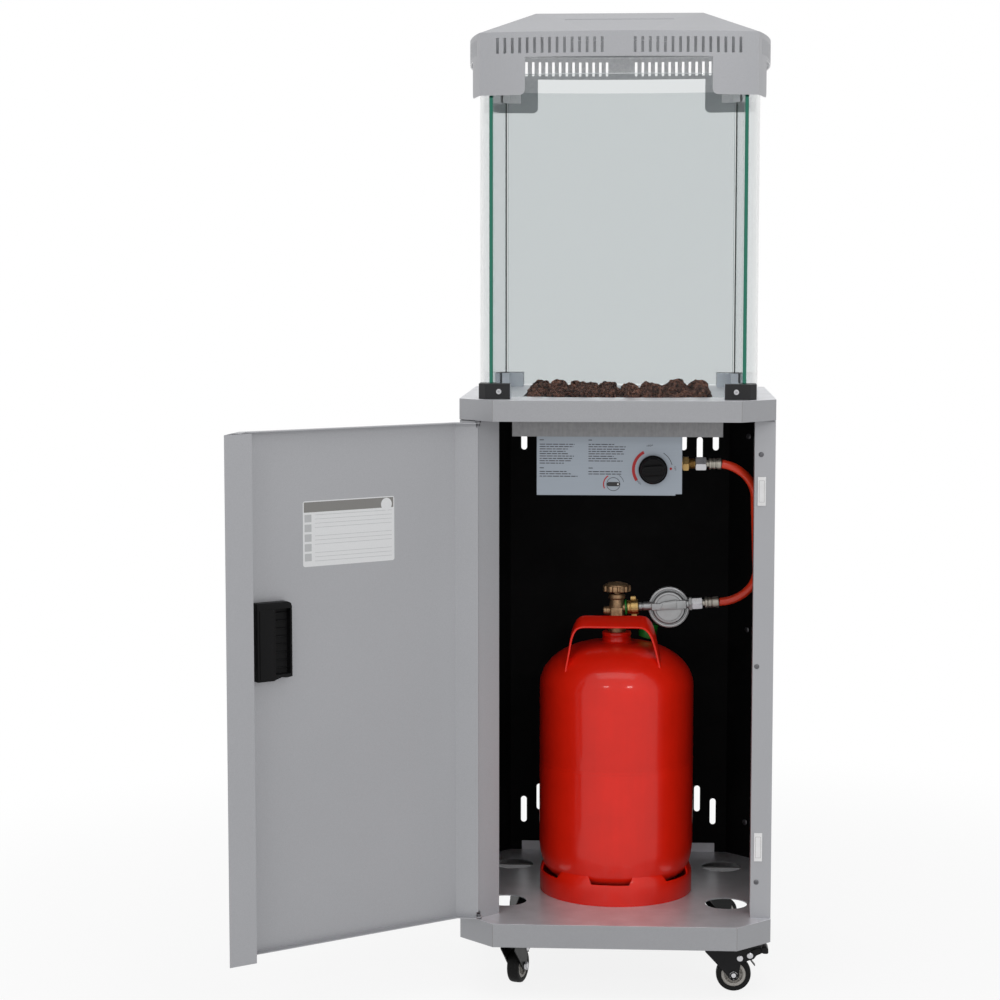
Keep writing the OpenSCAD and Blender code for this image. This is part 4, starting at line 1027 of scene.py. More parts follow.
class HEATER_OT_gas_bottle(bpy.types.Operator):
    """Turns the gas bottle and bends its foot ring and handle"""

    bl_idname = "heater.gas_bottle"
    bl_label = "Gas Bottle"

    def execute(self, context):
        body = placed(turned("bottle_vessel", bottle_side(), 96, 50), at(BOTTLE_X, BOTTLE_Y, 0))
        for piece, node in (
            (body, "bottle_body"), (self.foot_ring(), "bottle_foot_ring"), (self.handle(), "bottle_handle"),
        ):
            hand_over(piece, "red", replaces=[node])
        return {"FINISHED"}

    def foot_ring(self):
        outer = [
            (110.5, 0), (111, 0.7), (111, 27), (110.6, 30), (109.7, 33.5), (108.3, 37),
            (106.8, 40), (105.1, 42.4), (102.9, 43.4),
        ]
        inner = [
            (102.1, 41.6), (104.5, 39), (106.5, 35.6), (107.9, 31), (108.4, 27), (108.4, 0.7), (108.9, 0),
        ]
        ring = turned("foot_ring", outer + inner + outer[:1], 120, 40)
        placed(ring, at(BOTTLE_X, BOTTLE_Y, TRAY_FLOOR_Z))
        for i in range(6):
            window = plate("window", [(-27, 138.6), (27, 138.6), (35, 156), (-35, 156)], -14, 14, "XZ")
            placed(window, upright(BOTTLE_X, BOTTLE_Y, 0, 60 * i - 3.6) @ at(0, -BOTTLE_R, 0))
            less(ring, window)
        return smooth(rounded(ring, 0.6, 2, 55), 40)

    def handle(self):
        """A strap pushed on from station to station, wide in the grip and narrow at its feet."""
        stations = [
            ((-74, -64, 436), (-75, -81, 430)), ((-67, -57, 476), (-68.5, -78, 468)),
            ((-63.5, -51, 494), (-65.3, -76, 486)), ((-60.2, -47, 505), (-60.5, -74, 496)),
            ((-56, -46, 511.5), (-55, -73.4, 500.6)), ((-48, -46, 515), (-46, -73, 502.6)),
            ((-20, -46, 515.2), (-20, -73, 502.6)), ((10, -46, 515.3), (10, -73, 502.6)),
            ((35, -46, 515.4), (30, -73, 502.5)), ((42, -46, 513.4), (41, -73.6, 499.6)),
            ((48, -47, 505.8), (48.4, -75, 491.6)), ((52.5, -52, 494.5), (52.6, -77, 481)),
            ((57, -59, 476), (57.2, -79, 465)), ((65, -68, 436), (66, -84, 430)),
        ]
        backs, fronts = (eased([Vector(p) * MM for p in line], 5) for line in zip(*stations))
        one_vertex(backs[0])
        bpy.ops.mesh.extrude_vertices_move(TRANSFORM_OT_translate={"value": fronts[0] - backs[0]})
        bpy.ops.mesh.select_all(action="SELECT")
        for b0, f0, b1, f1 in zip(backs, fronts, backs[1:], fronts[1:]):
            across, wider = f0 - b0, f1 - b1
            bpy.ops.mesh.extrude_edges_move(
                TRANSFORM_OT_translate={"value": (b1 + f1 - b0 - f0) / 2}
            )
            bpy.ops.transform.resize(
                value=(1, wider.y / across.y, wider.z / across.z), center_override=(b1 + f1) / 2
            )
        done_editing()
        strap = fresh("bottle_strap")
        modified(strap, "SOLIDIFY", thickness=3.0 * MM, offset=0)
        rounded(strap, 1.0, 3, 50)
        return smooth(strap, 35)


# Bottle valve


def lobed(name, radius, height, lobes, bevel, depth):
    """A round slab with hollows of that depth round its rim."""
    outline = []
    for i in range(lobes * 12):
        a = math.tau * i / (lobes * 12)
        dip = max(0.0, math.cos(lobes * a)) ** 1.5
        outline.append(((radius - depth * dip) * math.cos(a), (radius - depth * dip) * math.sin(a)))
    slab = plate(name, outline, 0, height)
    return smooth(rounded(slab, bevel, 3, 50), 45)


class HEATER_OT_bottle_valve(bpy.types.Operator):
    """Casts the bottle's valve and its handwheel"""

    bl_idname = "heater.bottle_valve"
    bl_label = "Bottle Valve"

    def execute(self, context):
        x, y = BOTTLE_X, BOTTLE_Y
        column = turned("valve_column", [
            (0.01, 488), (13, 488), (13, 492.6), (12.4, 494), (11.2, 495), (10.6, 498), (10.5, 506),
            (10.8, 509), (11.0, 514), (11.0, 527), (10.8, 531), (10.2, 533), (9.8, 535), (11.2, 536.4),
            (12, 537.4), (12, 541.4), (11.0, 543), (6.4, 543.4), (6.0, 546.4), (0.01, 546.4),
        ], 48)
        placed(column, at(x, y, 0))
        stub = turned("valve_stub", [
            (0.01, 0), (5.6, 0), (5.6, 11), (6.6, 11.6), (6.6, 14.4), (5.9, 15), (5.9, 18.6),
            (5.2, 19.6), (0.01, 19.6),
        ], 32)
        placed(stub, at(x, y, 518.5) @ spun(-90, "Y"))
        spout = turned("valve_spout", [
            (0.01, 0), (6.5, 0), (6.5, 27.6), (5.6, 28.6), (0.01, 28.6)
        ], 32)
        placed(spout, along_outlet())
        flats = rounded(block("valve_flats", (x - 8.6, y - 11.4, 511), (x + 8.6, y + 11.4, 524)), 1.4, 3)
        valve = joined("valve_casting", column, stub, spout, flats)
        hand_over(smooth(valve, 35), "bronze", replaces=["bottle_valve"])
        lobes = context.scene.heater_sizes.handwheel_lobes
        hand_over(self.handwheel(lobes), "bronze", "handwheel", ["bottle_handwheel"])
        return {"FINISHED"}

    def handwheel(self, lobes):
        rim = lobed("wheel_rim", 20.4, 8.4, lobes, 1.1, 2.1)
        cap = turned("wheel_cap", [
            (0.01, 8), (17.6, 8), (17.2, 9.6), (14.5, 11.2), (10, 12.4), (5, 12.9), (4.4, 13.4),
            (3.4, 13.4), (2.6, 12.2), (0.01, 12.2),
        ], 48)
        hub = turned("wheel_hub", [
            (0.01, -9.5), (3.5, -9.5), (3.5, -2.2), (7.4, -1.6), (8, -0.8), (8, 0.2), (0.01, 0.2)
        ], 32)
        wheel = joined("valve_handwheel", rim, cap, hub)
        return smooth(placed(wheel, upright(BOTTLE_X, BOTTLE_Y, HANDWHEEL_Z, 8)), 35)


# Regulator and its fittings


def hexagon_nut(name, across, low, high, chamfer=0.9):
    """A hexagon nut along Z, its corners turned off at both faces."""
    r = across / math.sqrt(3)
    nut = plate(name, arc(r, 30, 330, 5), low, high)
    barrel = turned("barrel", [
        (0.01, low), (across / 2 + 0.2, low), (r + 0.2, low + chamfer), (r + 0.2, high - chamfer),
        (across / 2 + 0.2, high), (0.01, high),
    ], 48)
    modified(nut, "BOOLEAN", operation="INTERSECT", object=barrel, solver="EXACT")
    bpy.data.objects.remove(barrel)
    return smooth(nut, 25)


def thread(radius, low, high, pitch=1.4, depth=0.5):
    """Profile of a threaded run, crest by crest."""
    out = []
    z = low
    while z + pitch < high:
        out += [(radius - depth, z), (radius, z + pitch * 0.5)]
        z += pitch
    return out + [(radius - depth, high)]


class HEATER_OT_regulator(bpy.types.Operator):
    """Casts the regulator and fits its union nut, dust cap, hose nuts and ferrules"""

    bl_idname = "heater.regulator"
    bl_label = "Regulator"

    def execute(self, context):
        hand_over(self.regulator(), "alloy", replaces=["regulator"])
        hand_over(self.union_nut(), "brass", replaces=["union_nut"])
        hand_over(self.dust_cap(), "green", replaces=["dust_cap"])
        hand_over(self.inlet(), "brass", replaces=["inlet_fitting"])
        nuts, ferrules = self.hose_ends()
        hand_over(nuts, "steel", replaces=["hose_nuts"])
        hand_over(ferrules, "ferrule", replaces=["hose_ferrules"])
        return {"FINISHED"}

    def regulator(self):
        disc = turned("regulator_disc", [
            (0.01, -9.8), (21, -9.8), (24, -9.0), (28.5, -4.4), (30, -2.6), (30, 4.2), (29.3, 5.4),
            (27.6, 6.0), (26.2, 5.6), (25.4, 4.6), (24.6, 4.6), (24.0, 5.4), (23.4, 8.6),
            (22.2, 9.8), (19.6, 10.2), (18.8, 9.6), (6, 9.4), (0.01, 9.4),
        ], 96)
        placed(disc, at(75.5, 0, -3.7) @ spun(90, "X") @ at(0, 0, -4))
        bar = plate("regulator_bar", [
            (50, -6.2), (101, -6.2), (101, 6.2), (88, 6.4), (86, 7.6), (66, 5.6), (62, 3.2), (50, 4.8),
        ], -9.6, 4, "XZ")
        rounded(bar, 1.1, 3)
        ridge = plate("regulator_ridge", [(63, -4.4), (87, -4.4), (87.5, 6.2), (67, 4.4)], -10.8, -4, "XZ")
        rounded(ridge, 0.8, 2)
        inlet = turned("regulator_inlet", [
            (0.01, 32), (6.2, 32), (6.2, 36), (5.4, 36.6), (5.4, 38), (6.4, 38.6), (6.4, 50), (5.8, 56),
            (0.01, 56),
        ], 32)
        outlet = turned("regulator_outlet", [
            (0.01, 96), (6.6, 96), (6.6, 104), (5.6, 105), (5.6, 107), (0.01, 107)
        ], 32)
        hexa = hexagon_nut("regulator_hex", 17.6, 104.6, HOSE_NUT_FROM, 0.7)
        for part in (inlet, outlet, hexa):
            placed(part, spun(90, "Y"))
        cast = joined("gas_regulator", disc, bar, ridge, inlet, outlet, hexa)
        return smooth(placed(cast, outlet_frame()), 35)

    def union_nut(self):
        body = turned("union_body", [
            (7.2, 14.9), (9.6, 14.9), (10.4, 15.8), (10.4, 18.4), (9.8, 19), (9.8, 20), (10.9, 20.8),
            (11, 22), (11, 30.6), (10.2, 31.8), (7.2, 31.8), (7.2, 14.9),
        ], 48)
        parts = [body]
        for turn in (90, 270):
            wing = plate("union_wing", [
                (-2.2, 9), (2.2, 9), (2.6, 14.6), (1.6, 16), (-1.6, 16), (-2.6, 14.6),
            ], 20.6, 28.2)
            rounded(wing, 0.7)
            parts.append(placed(wing, spun(turn)))
        parts += ribs("union_rib", (10.2, -0.9, 21.4), (11.2, 0.9, 30.2), 0.4, 10, 18)
        nut = joined("union_wing_nut", *parts)
        return smooth(placed(nut, along_outlet()), 35)

    def dust_cap(self):
        ring = turned("cap_ring", [
            (6.7, 12), (10.4, 12), (11, 12.6), (11, 13.8), (10.4, 14.4), (6.7, 14.4), (6.7, 12)
        ], 48)
        placed(ring, along_outlet())
        cap = turned("cap_shell", [
            (0.01, -11), (11.4, -11), (12.4, -10.4), (13, -9.4), (13, 9.6), (12.6, 11), (11, 11),
            (10.8, -8.8), (0.01, -8.8),
        ], 48)
        cap = joined("cap_body", cap, *ribs("cap_rib", (12.2, -0.7, -9), (13.0, 0.7, 9.4), 0.3, 24))
        placed(cap, at(*OUTLET) @ at(46, 33, -37) @ spun(15, "Y") @ spun(180, "X"))
        tether = self.strap([
            (13.2, 6, 9.4), (13.6, 16, 9.6), (14.4, 25, 5), (18, 31, -8), (30, 33.5, -20), (43, 33.5, -26),
            (48.6, 33, -27.6),
        ])
        placed(tether, at(*OUTLET))
        return smooth(joined("outlet_dust_cap", ring, cap, tether), 35)

    def strap(self, points):
        """A moulded strap 4 mm wide that follows the points."""
        curve = bpy.data.curves.new("strap", "CURVE")
        curve.dimensions = "3D"
        curve.bevel_depth = 1.3 * MM
        curve.bevel_resolution = 3
        curve.use_fill_caps = True
        spline = curve.splines.new("NURBS")
        spline.points.add(len(points) - 1)
        for point, place in zip(spline.points, points):
            point.co = (*(Vector(place) * MM), 1)
        spline.order_u = 4
        spline.use_endpoint_u = True
        o = bpy.data.objects.new("strap", curve)
        bpy.context.scene.collection.objects.link(o)
        alone(o)
        bpy.ops.object.convert(target="MESH")
        return fresh("strap")

    def inlet(self):
        hexa = hexagon_nut("inlet_hex", 18.6, 91.2, 99.6, 0.9)
        neck = turned("inlet_neck", [
            (0.01, 91), (6, 91), (6, 99), *thread(7.4, 99.8, HOSE_NUT_FROM), (0.01, HOSE_NUT_FROM),
        ], 40)
        fitting = joined("inlet_union", hexa, neck)
        return smooth(placed(fitting, along_inlet()), 28)

    def hose_ends(self):
        nuts, ferrules = [], []
        for frame_in, across, end in ((along_inlet(), 17.6, 145), (along_outlet(), 15.6, 148)):
            nut = hexagon_nut("hose_nut", across, HOSE_NUT_FROM + 0.1, HOSE_NUT_FROM + 14.8, 1.0)
            nuts.append(placed(nut, frame_in))
            s = HOSE_NUT_FROM + 15
            ferrule = turned("ferrule", [
                (0.01, s), (5, s), (5, s + 3.4), (7.4, s + 3.5), (8, s + 4.3), (8, s + 7),
                (7.45, s + 7.8), (7.45, s + 8.8), (8, s + 9.6), (8, s + 12.4), (7.45, s + 13.2),
                (7.45, s + 14.2), (8, s + 15), (8, end - 0.9), (7.3, end), (0.01, end),
            ], 40)
            ferrules.append(placed(ferrule, frame_in))
        return smooth(joined("hose_nut_pair", *nuts), 28), smooth(joined("hose_ferrule_pair", *ferrules), 35)


# Control panel


def arc_mark(name, radius, width, start, end, steps=28):
    """A printed arc between two angles, in degrees from three o'clock."""
    outer, inner = (arc(radius + side * width / 2, start, end, steps) for side in (1, -1))
    return plate(name, outer + inner[::-1], 0, 0.12)


def lettering(name, text, size, turn, radius):
    """A generic word printed beside a dial."""
    alone()
    bpy.ops.object.text_add(location=(0, 0, 0))
    o = bpy.context.object
    o.data.body = text
    o.data.size = size * MM
    o.data.align_x = "CENTER"
    o.data.align_y = "CENTER"
    o.data.extrude = 0.05 * MM
    alone(o)
    bpy.ops.object.convert(target="MESH")
    o = fresh(name)
    a = math.radians(turn)
    tilt = turn - 90 if turn > 0 else turn + 90
    return placed(o, at(radius * math.cos(a), radius * math.sin(a), 0.06) @ spun(tilt))


class HEATER_OT_control_panel(bpy.types.Operator):
    """Moulds the knob and prints the dials on the control panel"""

    bl_idname = "heater.control_panel"
    bl_label = "Control Panel"

    dial_at = (-5.3, 714.6)
    # A heading's height and that of the first row under it
    paragraphs = ((775.4, 769.4), (736.4, 731.4))
    # Left end, width, and the rows in each paragraph
    columns = ((-108, 54, (9, 3)), (-40, 52, (8, 2)))
    row_pitch = 3.3
    letter_height = 3.6

    def execute(self, context):
        hand_over(self.knob(), "black_plastic", "knob", ["control_knob"])
        dx, dz = self.dial_at
        red = [arc_mark("arc_red", 27.2, 4.2, 118, 214), arc_mark("off_dot", 0.9, 1.8, 0, 360)]
        placed(red[1], at(24.6, 1.2, 0))
        small_red = [arc_mark("small_arc", 13.6, 1.6, 122, 206)]
        black = [arc_mark("arc_black", 27, 0.8, 14, 58)]
        for word, turn, radius in (("HIGH", 98, 33.5), ("OFF", 3, 30.5), ("LOW", 222, 26.5)):
            black.append(lettering(f"word_{word.lower()}", word, self.letter_height, turn, radius))
        for mark in red + black:
            placed(mark, facing_front(KNOB_X, PRINT_Y, KNOB_Z))
        small = [
            arc_mark("dial_ring", 9.2, 0.7, 0, 360, 48), arc_mark("dial_arc", 14.6, 0.6, 12, 58),
            plate("dial_pointer", self.lozenge(18, 6), 0, 0.12),
        ]
        for mark in small + small_red:
            placed(mark, facing_front(dx, PRINT_Y, dz))
        dot = placed(arc_mark("dial_dot", 0.55, 1.1, 0, 360), facing_front(dx + 6.4, PRINT_Y - 0.14, dz))
        rows = self.print_rows(random.Random(5))
        hand_over(joined("panel_print_rows", *rows), "ink_black")
        hand_over(joined("panel_print_red", *red, *small_red), "ink_red")
        hand_over(joined("panel_print_black", *black, *small), "ink_black")
        hand_over(joined("panel_print_dot", dot), "white_plastic")
        return {"FINISHED"}

    def print_rows(self, rng):
        """Rows of dashes where the panel has its instructions."""
        dashes = []
        for x0, width, counts in self.columns:
            for (heading, first), count in zip(self.paragraphs, counts):
                for z in [heading, *[first - self.row_pitch * i for i in range(count)]]:
                    end = x0 + (6 if z == heading else width * rng.uniform(0.62, 1))
                    x = x0
                    while x < end:
                        dash = rng.uniform(3, 9)
                        corner = (min(x + dash, end), PRINT_Y, z + 1.1)
                        dashes.append(block("print_dash", (x, PRINT_Y - 0.08, z), corner))
                        x += dash + 1.1
        return dashes

    def lozenge(self, length, height):
        r = height / 2
        return arc(r, -90, 90, 8, length / 2 - r) + arc(r, 90, 270, 8, r - length / 2)

    def knob(self):
        base = turned("knob_base", [
            (0.01, 0), (19.4, 0), (20, 0.6), (20, 4.2), (19.4, 5.2), (18.4, 5.8), (17.6, 6.6),
            (16.6, 12.2), (15.8, 13.4), (14.6, 13.9), (11, 13.2), (0.01, 12.6),
        ], 72)
        grip = plate("knob_grip", self.lozenge(33.6, 13.4), 8, 18)
        rounded(grip, 1.6, 3, 50)
        hollow = plate("knob_hollow", self.lozenge(25, 5.2), 16.9, 20)
        less(grip, hollow)
        for solid in (base, grip):
            less(solid, plate("stem_hole", arc(4.1, 0, 345, 23), -1, 15))
        edge = ribs("knob_rib", (19.6, -0.45, 0.8), (20.0, 0.45, 4.2), 0.2, 36)
        knob = joined("gas_knob", base, grip, *edge)
        placed(knob, facing_front(KNOB_X, PANEL_Y - KNOB_GAP, KNOB_Z) @ spun(4))
        return smooth(knob, 35)


# Door fittings


class HEATER_OT_door_fittings(bpy.types.Operator):
    """Moulds the door's handle cup and sticks the blank label plate on the door"""

    bl_idname = "heater.door_fittings"
    bl_label = "Door Fittings"

    def execute(self, context):
        swing = opened_door()
        hand_over(placed(self.cup(), swing), "black_plastic", "door", ["door_handle"])
        film, header, lines = self.label()
        hand_over(placed(film, swing), "label", "door")
        hand_over(placed(header, swing), "ink_grey", "door")
        hand_over(placed(lines, swing), "ink_pale", "door")
        return {"FINISHED"}

    def cup(self):
        """A smooth half, and a recessed half with faint ribs, a cut corner and a stepped lower edge."""
        x0, x1, z0, z1, inner = 99, 151, 474, 578, DOOR_INNER_Y
        shell = plate("cup_shell", [
            (x0, z0 + 4), (x0 + 8, z0 + 3), (x0 + 16, z0 + 4), (x0 + 24, z0 + 1.5), (x0 + 27, z0),
            (x1, z0), (x1, z1), (x0 + 6, z1), (x0 + 1.5, z1 - 2), (x0, z1 - 6),
        ], inner, inner + 14, "XZ")
        for low, high in (
            ((x0 + 2.6, inner + 3.4, z0 + 8), (x0 + 24.6, inner + 24, z1 - 9)),
            ((x0 + 6.5, inner - 4, z0 + 9), (x1 - 5, inner + 2, z1 - 9)),
            ((x0 + 27, inner - 4, z0 + 9), (x1 - 5, inner + 11, z1 - 9)),
        ):
            less(shell, block("cup_room", low, high))
        rounded(shell, 0.7, 2, 50)
        face = block("cup_face", (x0 + 27, inner + 12.6, z0 + 3), (x1 - 3, inner + 15, z1 - 9), 0.8, 3)
        parts = [shell, face]
        for i in range(8):
            z = z0 + 15 + i * 10.4
            parts.append(block("cup_rib", (x0 + 2, inner + 3, z), (x0 + 25, inner + 5.4, z + 1.2)))
        return smooth(joined("door_grip", *parts), 35)

    def label(self):
        """A blank label: header bar, faint rules, a column of empty cells and a pale disc."""
        frame_in = facing_front(0, DOOR_INNER_Y, 0) @ Matrix.Scale(-1, 4, (0, 0, 1))

        def stuck(mark, lift=0.0):
            placed(mark, frame_in @ at(0, 0, lift))
            editing(mark)
            bpy.ops.mesh.normals_make_consistent(inside=False)
            done_editing()
            return mark

        def bar(*sides):
            return stuck(plate("label_bar", self.rounded_sheet(*sides, 0.3), 0, 0.06), 0.15)

        film = stuck(plate("label_film", self.rounded_sheet(-68, 74, 619.5, 707, 3), 0, 0.15))
        header = bar(-66.5, 72.5, 692, 705.6)
        rules = [bar(-64, 56, 688 - 5.6 * i, 688.5 - 5.6 * i) for i in range(12) if i not in (4, 8)]
        rules += [bar(61, 71.5, 627 + 13 * i, 637 + 13 * i) for i in range(5)]
        disc = stuck(plate("label_disc", arc(8.5, 0, 351, 39, -55.5, 696.5), 0, 0.06), 0.22)
        return (
            joined("label_white", film, disc), joined("label_header", header), joined("label_rules", *rules)
        )

    def rounded_sheet(self, x0, x1, z0, z1, r):
        left, right, low, high = x0 + r, x1 - r, z0 + r, z1 - r
        corners = ((right, high), (left, high), (left, low), (right, low))
        return [
            point for i, (x, z) in enumerate(corners) for point in arc(r, 90 * i, 90 * i + 90, 4, x, z)
        ]


# Castors


def at_castor(key):
    """Frame of a castor: its stem's place, turned the way its wheel trails."""
    x, y, _ = joint_place(f"swivel_{key}")
    across = JOINTS[f"wheel_{key}"]["axis"]
    return upright(x, y, 0, math.degrees(math.atan2(-across[0], across[1])))


class HEATER_OT_castors(bpy.types.Operator):
    """Moulds tyres and rims, and rivets the forks"""

    bl_idname = "heater.castors"
    bl_label = "Castors"

    # Places in the castor's frame, along its trail and up
    fork_rivet = (30.7, 48.6)
    pedal_pin = (44.6, 53)

    def execute(self, context):
        wheel = at(*WHEEL_IN_CASTOR) @ spun(90, "X")
        tyre, rim, axle = placed(self.tyre(), wheel), placed(self.rim(), wheel), self.axle(wheel)
        rivets, pins = self.rivets(*self.fork_rivet, 10.9), self.rivets(*self.pedal_pin, 11.3)
        pedal = self.pedal()
        # Copied piece, its new name, finish, body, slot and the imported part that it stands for
        every = (
            (tyre, "wheel_tyre", "tyre", "wheel", "tyre_rubber", "tyre"),
            (rim, "wheel_rim", "rim", "wheel", "rim_plastic", "rim"),
            (axle, "axle_bolt", "steel", "swivel", "bright_steel", "axle"),
        )
        braked = (
            (rivets, "fork_rivets", "steel", "swivel", None, None),
            (pins, "pedal_rivets", "steel", "pedal", None, None),
            (pedal, "foot_pedal", "fork_black", "pedal", "black_steel", "brake_pedal"),
        )
        for key in CASTORS:
            for kind, name, finish, body, slot, node in every + (braked if key in BRAKED_CASTORS else ()):
                copy = again(kind, f"{name}_{key}", at_castor(key))
                hand_over(copy, finish, f"{body}_{key}", [f"{node}_{key}"] if node else ())
        for kind in (tyre, rim, axle, rivets, pins, pedal):
            bpy.data.objects.remove(kind)
        return {"FINISHED"}

    def tyre(self):
        return turned("tyre_ring", [
            (17.25, -8.2), (20.6, -8.4), (22.6, -8.1), (23.7, -7.2), (24.3, -5.4), (24.5, -3.2),
            (24.5, 3.2), (24.3, 5.4), (23.7, 7.2), (22.6, 8.1), (20.6, 8.4), (17.25, 8.2), (17.25, -8.2),
        ], 96)

    def rim(self):
        ring = turned("rim_ring", [
            (13.0, -7.4), (13.8, -7.9), (16.4, -7.9), (17.2, -7.4), (17.2, 7.4), (16.4, 7.9), (13.8, 7.9),
            (13.0, 7.4), (12.6, 2.6), (7.4, 2.4), (7.0, 9.1), (6.4, 9.2), (3.6, 9.2), (3.6, -9.2),
            (6.4, -9.2), (7.0, -9.1), (7.4, -2.4), (12.6, -2.6), (13.0, -7.4),
        ], 72, 40)
        spokes = ribs("rim_rib", (6.4, -0.7, -6), (13.6, 0.7, 6), 0.3, 8)
        return smooth(joined("rim_casting", ring, *spokes), 35)

    def axle(self, wheel):
        x, y, z = WHEEL_IN_CASTOR
        shank = rod("axle_shank", 3.5, (x, -14.6, z), (x, 11, z), 24, 0.5)
        head = placed(hexagon_nut("axle_head", 10, -14.5, -11.05, 0.6), wheel)
        nut = placed(hexagon_nut("axle_nut", 10, 11.05, 14.5, 0.6), wheel)
        return smooth(joined("axle_set", shank, head, nut), 28)

    def rivets(self, x, z, face):
        heads = []
        for side in (1, -1):
            head = turned("rivet", [
                (0.01, 0), (4.5, 0), (4.6, 0.5), (4.2, 1.3), (3.2, 1.9), (1.6, 2.2), (0.01, 2.3)
            ], 32)
            heads.append(placed(head, at(x, side * face, z) @ spun(-90 * side, "X")))
        return smooth(joined("rivet_pair", *heads), 40)

    def pedal(self):
        lever = plate("pedal_lever", [
            (40, 50), (43, 46.6), (50, 46.6), (54, 52), (62, 55.6), (63, 63.6), (50, 61.4), (41, 58)
        ], -9.1, 9.1, "XZ")
        rounded(lever, 1.2, 3)
        foot = plate("pedal_foot", [
            (60.5, 57.5), (63, 55.6), (69, 55.5), (70.5, 57), (70.2, 62.6), (68.4, 65), (62, 65), (60.5, 63)
        ], -12, 12, "XZ")
        rounded(foot, 1.5, 3)
        treads = [
            block("pedal_tread", (x, -10.4, 64.5), (x + 1.2, 10.4, 65.0), 0.2) for x in (61.4, 63.8, 66.2)
        ]
        px, pz = self.pedal_pin
        pin = rod("pedal_pin", 3, (px, -11, pz), (px, 11, pz), 24)
        return smooth(joined("pedal_casting", lever, foot, *treads, self.spring(), pin), 35)

    def spring(self):
        """The curved tongue of spring steel under the pedal."""
        line = rounded_line([(43, 49), (46, 43), (51.5, 36)], 14, 6)
        back = [(p.x + 1.0, p.y + 0.6) for p in line]
        return plate("pedal_spring", [(p.x, p.y) for p in line] + back[::-1], -5, 5, "XZ")


# Small screws and painted shadow lines at seams


class HEATER_OT_small_parts(bpy.types.Operator):
    """Sets the small screws, the pads' frames and painted shadow lines at the seams of the bent sheets"""

    bl_idname = "heater.small_parts"
    bl_label = "Small Parts"

    post_screws = ((197.9, 758.7), (194.7, 464), (197, 159))
    post_face_y = -164
    glass_screw = (162, -190, 845.5)
    skirt_face_y = -217.3

    def execute(self, context):
        screw = self.screw()
        screws = [
            again(screw, f"post_screw_{i}", facing_front(x, self.post_face_y, z))
            for i, (x, z) in enumerate(self.post_screws)
        ]
        bpy.data.objects.remove(screw)
        hand_over(joined("post_screws", *screws), "dark_steel")
        socket = self.socket_screw()
        x, y, z = self.glass_screw
        sockets = [
            again(socket, f"glass_screw_{side}_{turn}", spun(turn) @ facing_front(side * x, y, z))
            for side in (-1, 1) for turn in (0, 180)
        ]
        bpy.data.objects.remove(socket)
        hand_over(joined("glass_screws", *sockets), "steel", replaces=["bracket_screws"])
        hand_over(self.pad_frames(), "ink_grey")
        # Painted shadow lines where the skirts' corners are welded, in the grey ink finish
        hand_over(self.seam_shadows(), "ink_grey")
        return {"FINISHED"}

    def screw(self):
        head = turned("screw_head", [
            (0.01, 0), (3.4, 0), (3.5, 0.4), (3.0, 1.1), (2.0, 1.6), (0.01, 1.8)
        ], 32)
        for turn in (20, 110):
            slot = block("cross", (-2.1, -0.35, 1.0), (2.1, 0.35, 2.6))
            less(head, placed(slot, spun(turn)))
        return smooth(head, 35)

    def socket_screw(self):
        head = turned("socket_head", [
            (0.01, -10), (2.4, -10), (2.4, 0), (3.5, 0), (3.7, 0.4), (3.7, 1.6), (3.2, 2.2), (1.9, 2.2),
            (1.6, 1.9), (1.6, -8), (0.01, -8),
        ], 36)
        return smooth(head, 35)

    def pad_frames(self):
        # Thin grey lines round the edge of each strike pad
        left, right, line, back, front = 195.4, 202.7, 0.3, -166.2, -166.24
        lines = []
        for low, high in ((693, 723), (194, 224)):
            for x0, x1, z0, z1 in (
                (left, left + line, low, high), (right - line, right, low, high),
                (left, right, low, low + line), (left, right, high - line, high),
            ):
                lines.append(block("pad_line", (x0, front, z0), (x1, back, z1)))
        return joined("pad_edge_lines", *lines)

    def seam_shadows(self):
        """Shadow lines where the deck's and the tray's skirts are welded at their front corners."""
        lines = []
        front = self.skirt_face_y - 0.22
        for x in (-169, 169):
            for low, high in ((806.4, 834.2), (75.6, 107.2)):
                lines.append(block("seam", (x - 0.25, front, low), (x + 0.25, self.skirt_face_y, high)))
        return joined("skirt_seam_shadows", *lines)


# Stage


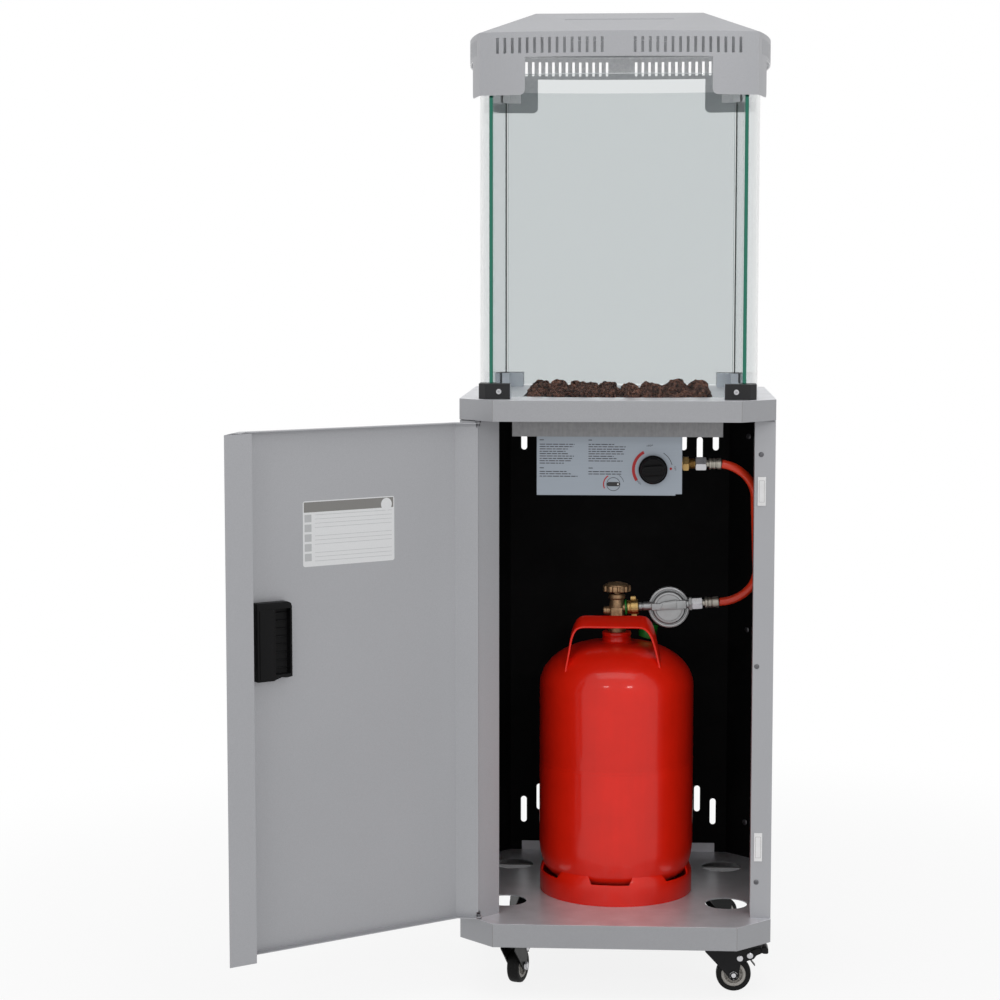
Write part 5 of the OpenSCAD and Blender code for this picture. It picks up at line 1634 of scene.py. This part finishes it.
class HEATER_OT_stage(bpy.types.Operator):
    """Sets the camera, the lamps and the pale floor"""

    bl_idname = "heater.stage"
    bl_label = "Stage"

    # The camera as fitted to the photograph: metres, degrees, and millimetres for the lens
    camera_place = (0.0354, -3.4732, 1.0187)
    camera_tilt = 84.404
    camera_turn = 3.41
    lens = 86.54

    def execute(self, context):
        scene = context.scene
        self.camera(scene)
        self.room(scene)
        self.floor(scene)
        studio = scene.heater_studio
        self.lamp(scene, "top_lamp", (0.0, -0.9, 3.4), (0, 0, 0.8), 2.6, 2.2, studio.key)
        self.lamp(scene, "left_softbox", (-1.0, -3.6, 2.3), (0, 0, 0.8), 0.46, 0.2, studio.front * 0.6)
        self.lamp(scene, "right_softbox", (1.3, -3.4, 2.2), (-0.1, 0, 0.6), 0.46, 0.2, studio.front * 0.85)
        return {"FINISHED"}

    def camera(self, scene):
        data = bpy.data.cameras.new("photo_camera")
        data.lens = self.lens
        data.sensor_width = 36
        data.clip_start = 0.1
        data.clip_end = 60
        camera = bpy.data.objects.new("photo_camera", data)
        camera.location = self.camera_place
        camera.rotation_euler = (math.radians(self.camera_tilt), 0, math.radians(self.camera_turn))
        scene.collection.objects.link(camera)
        scene.camera = camera
        scene.view_settings.view_transform = "Standard"

    def room(self, scene):
        world = bpy.data.worlds.new("white_studio")
        world.use_nodes = True
        nodes = Nodes(world.node_tree)
        level = nodes.node("ShaderNodeMapRange", inputs={
            "Value": nodes.shown_ray(), "To Min": scene.heater_studio.room, "To Max": 1.0,
        })
        back = nodes.tree.nodes["Background"]
        nodes.feed(back.inputs["Color"], (1, 1, 1))
        nodes.feed(back.inputs["Strength"], level)
        scene.world = world

    def floor(self, scene):
        alone()
        bpy.ops.mesh.primitive_plane_add(size=14, location=(0, 0, 0))
        floor = fresh("pale_floor")
        f = Finish("pale_floor", (0.86, 0.86, 0.86), 0.9)
        glow = f.node("ShaderNodeEmission", inputs={"Color": (1.0, 1.0, 1.0), "Strength": 1.0})
        away = f.along("X") * f.along("X") + f.along("Y") * f.along("Y")
        f.mixed_with(glow, f.shown_ray() * (0.86 + 0.14 * away.between(0.15, 2.5)))
        floor.data.materials.append(f.material)

    def lamp(self, scene, name, place, target, width, height, power):
        data = bpy.data.lights.new(name, "AREA")
        data.shape = "RECTANGLE"
        data.size = width
        data.size_y = height
        data.energy = power
        lamp = bpy.data.objects.new(name, data)
        lamp.location = place
        lamp.rotation_euler = (Vector(target) - Vector(place)).to_track_quat("-Z", "Y").to_euler()
        lamp.visible_camera = False
        scene.collection.objects.link(lamp)


# Add-on


STEPS = [
    HEATER_OT_stage,
    HEATER_OT_packed_parts,
    HEATER_OT_gas_hose,
    HEATER_OT_lava_rocks,
    HEATER_OT_gas_bottle,
    HEATER_OT_bottle_valve,
    HEATER_OT_regulator,
    HEATER_OT_control_panel,
    HEATER_OT_door_fittings,
    HEATER_OT_castors,
    HEATER_OT_small_parts,
]


class HEATER_PT_panel(bpy.types.Panel):
    """Sizes, colours and steps of the gas patio heater"""

    bl_idname = "HEATER_PT_panel"
    bl_label = "Gas Patio Heater"
    bl_space_type = "VIEW_3D"
    bl_region_type = "UI"
    bl_category = "Heater"

    def draw(self, context):
        for group in ("heater_colours", "heater_sizes", "heater_studio"):
            data = getattr(context.scene, group)
            box = self.layout.box()
            for key in type(data).__annotations__:
                box.prop(data, key)
        for step in STEPS:
            self.layout.operator(step.bl_idname)


GROUPS = {
    "heater_colours": HeaterColours,
    "heater_sizes": HeaterSizes,
    "heater_studio": HeaterStudio,
}


def register():
    for kind in [*GROUPS.values(), *STEPS, HEATER_PT_panel]:
        bpy.utils.register_class(kind)
    for name, kind in GROUPS.items():
        setattr(bpy.types.Scene, name, bpy.props.PointerProperty(type=kind))


def unregister():
    for name in GROUPS:
        delattr(bpy.types.Scene, name)
    for kind in reversed([*GROUPS.values(), *STEPS, HEATER_PT_panel]):
        bpy.utils.unregister_class(kind)


def main():
    register()
    for step in STEPS:
        group, name = step.bl_idname.split(".")
        getattr(getattr(bpy.ops, group), name)()


if __name__ == "__main__":
    main()
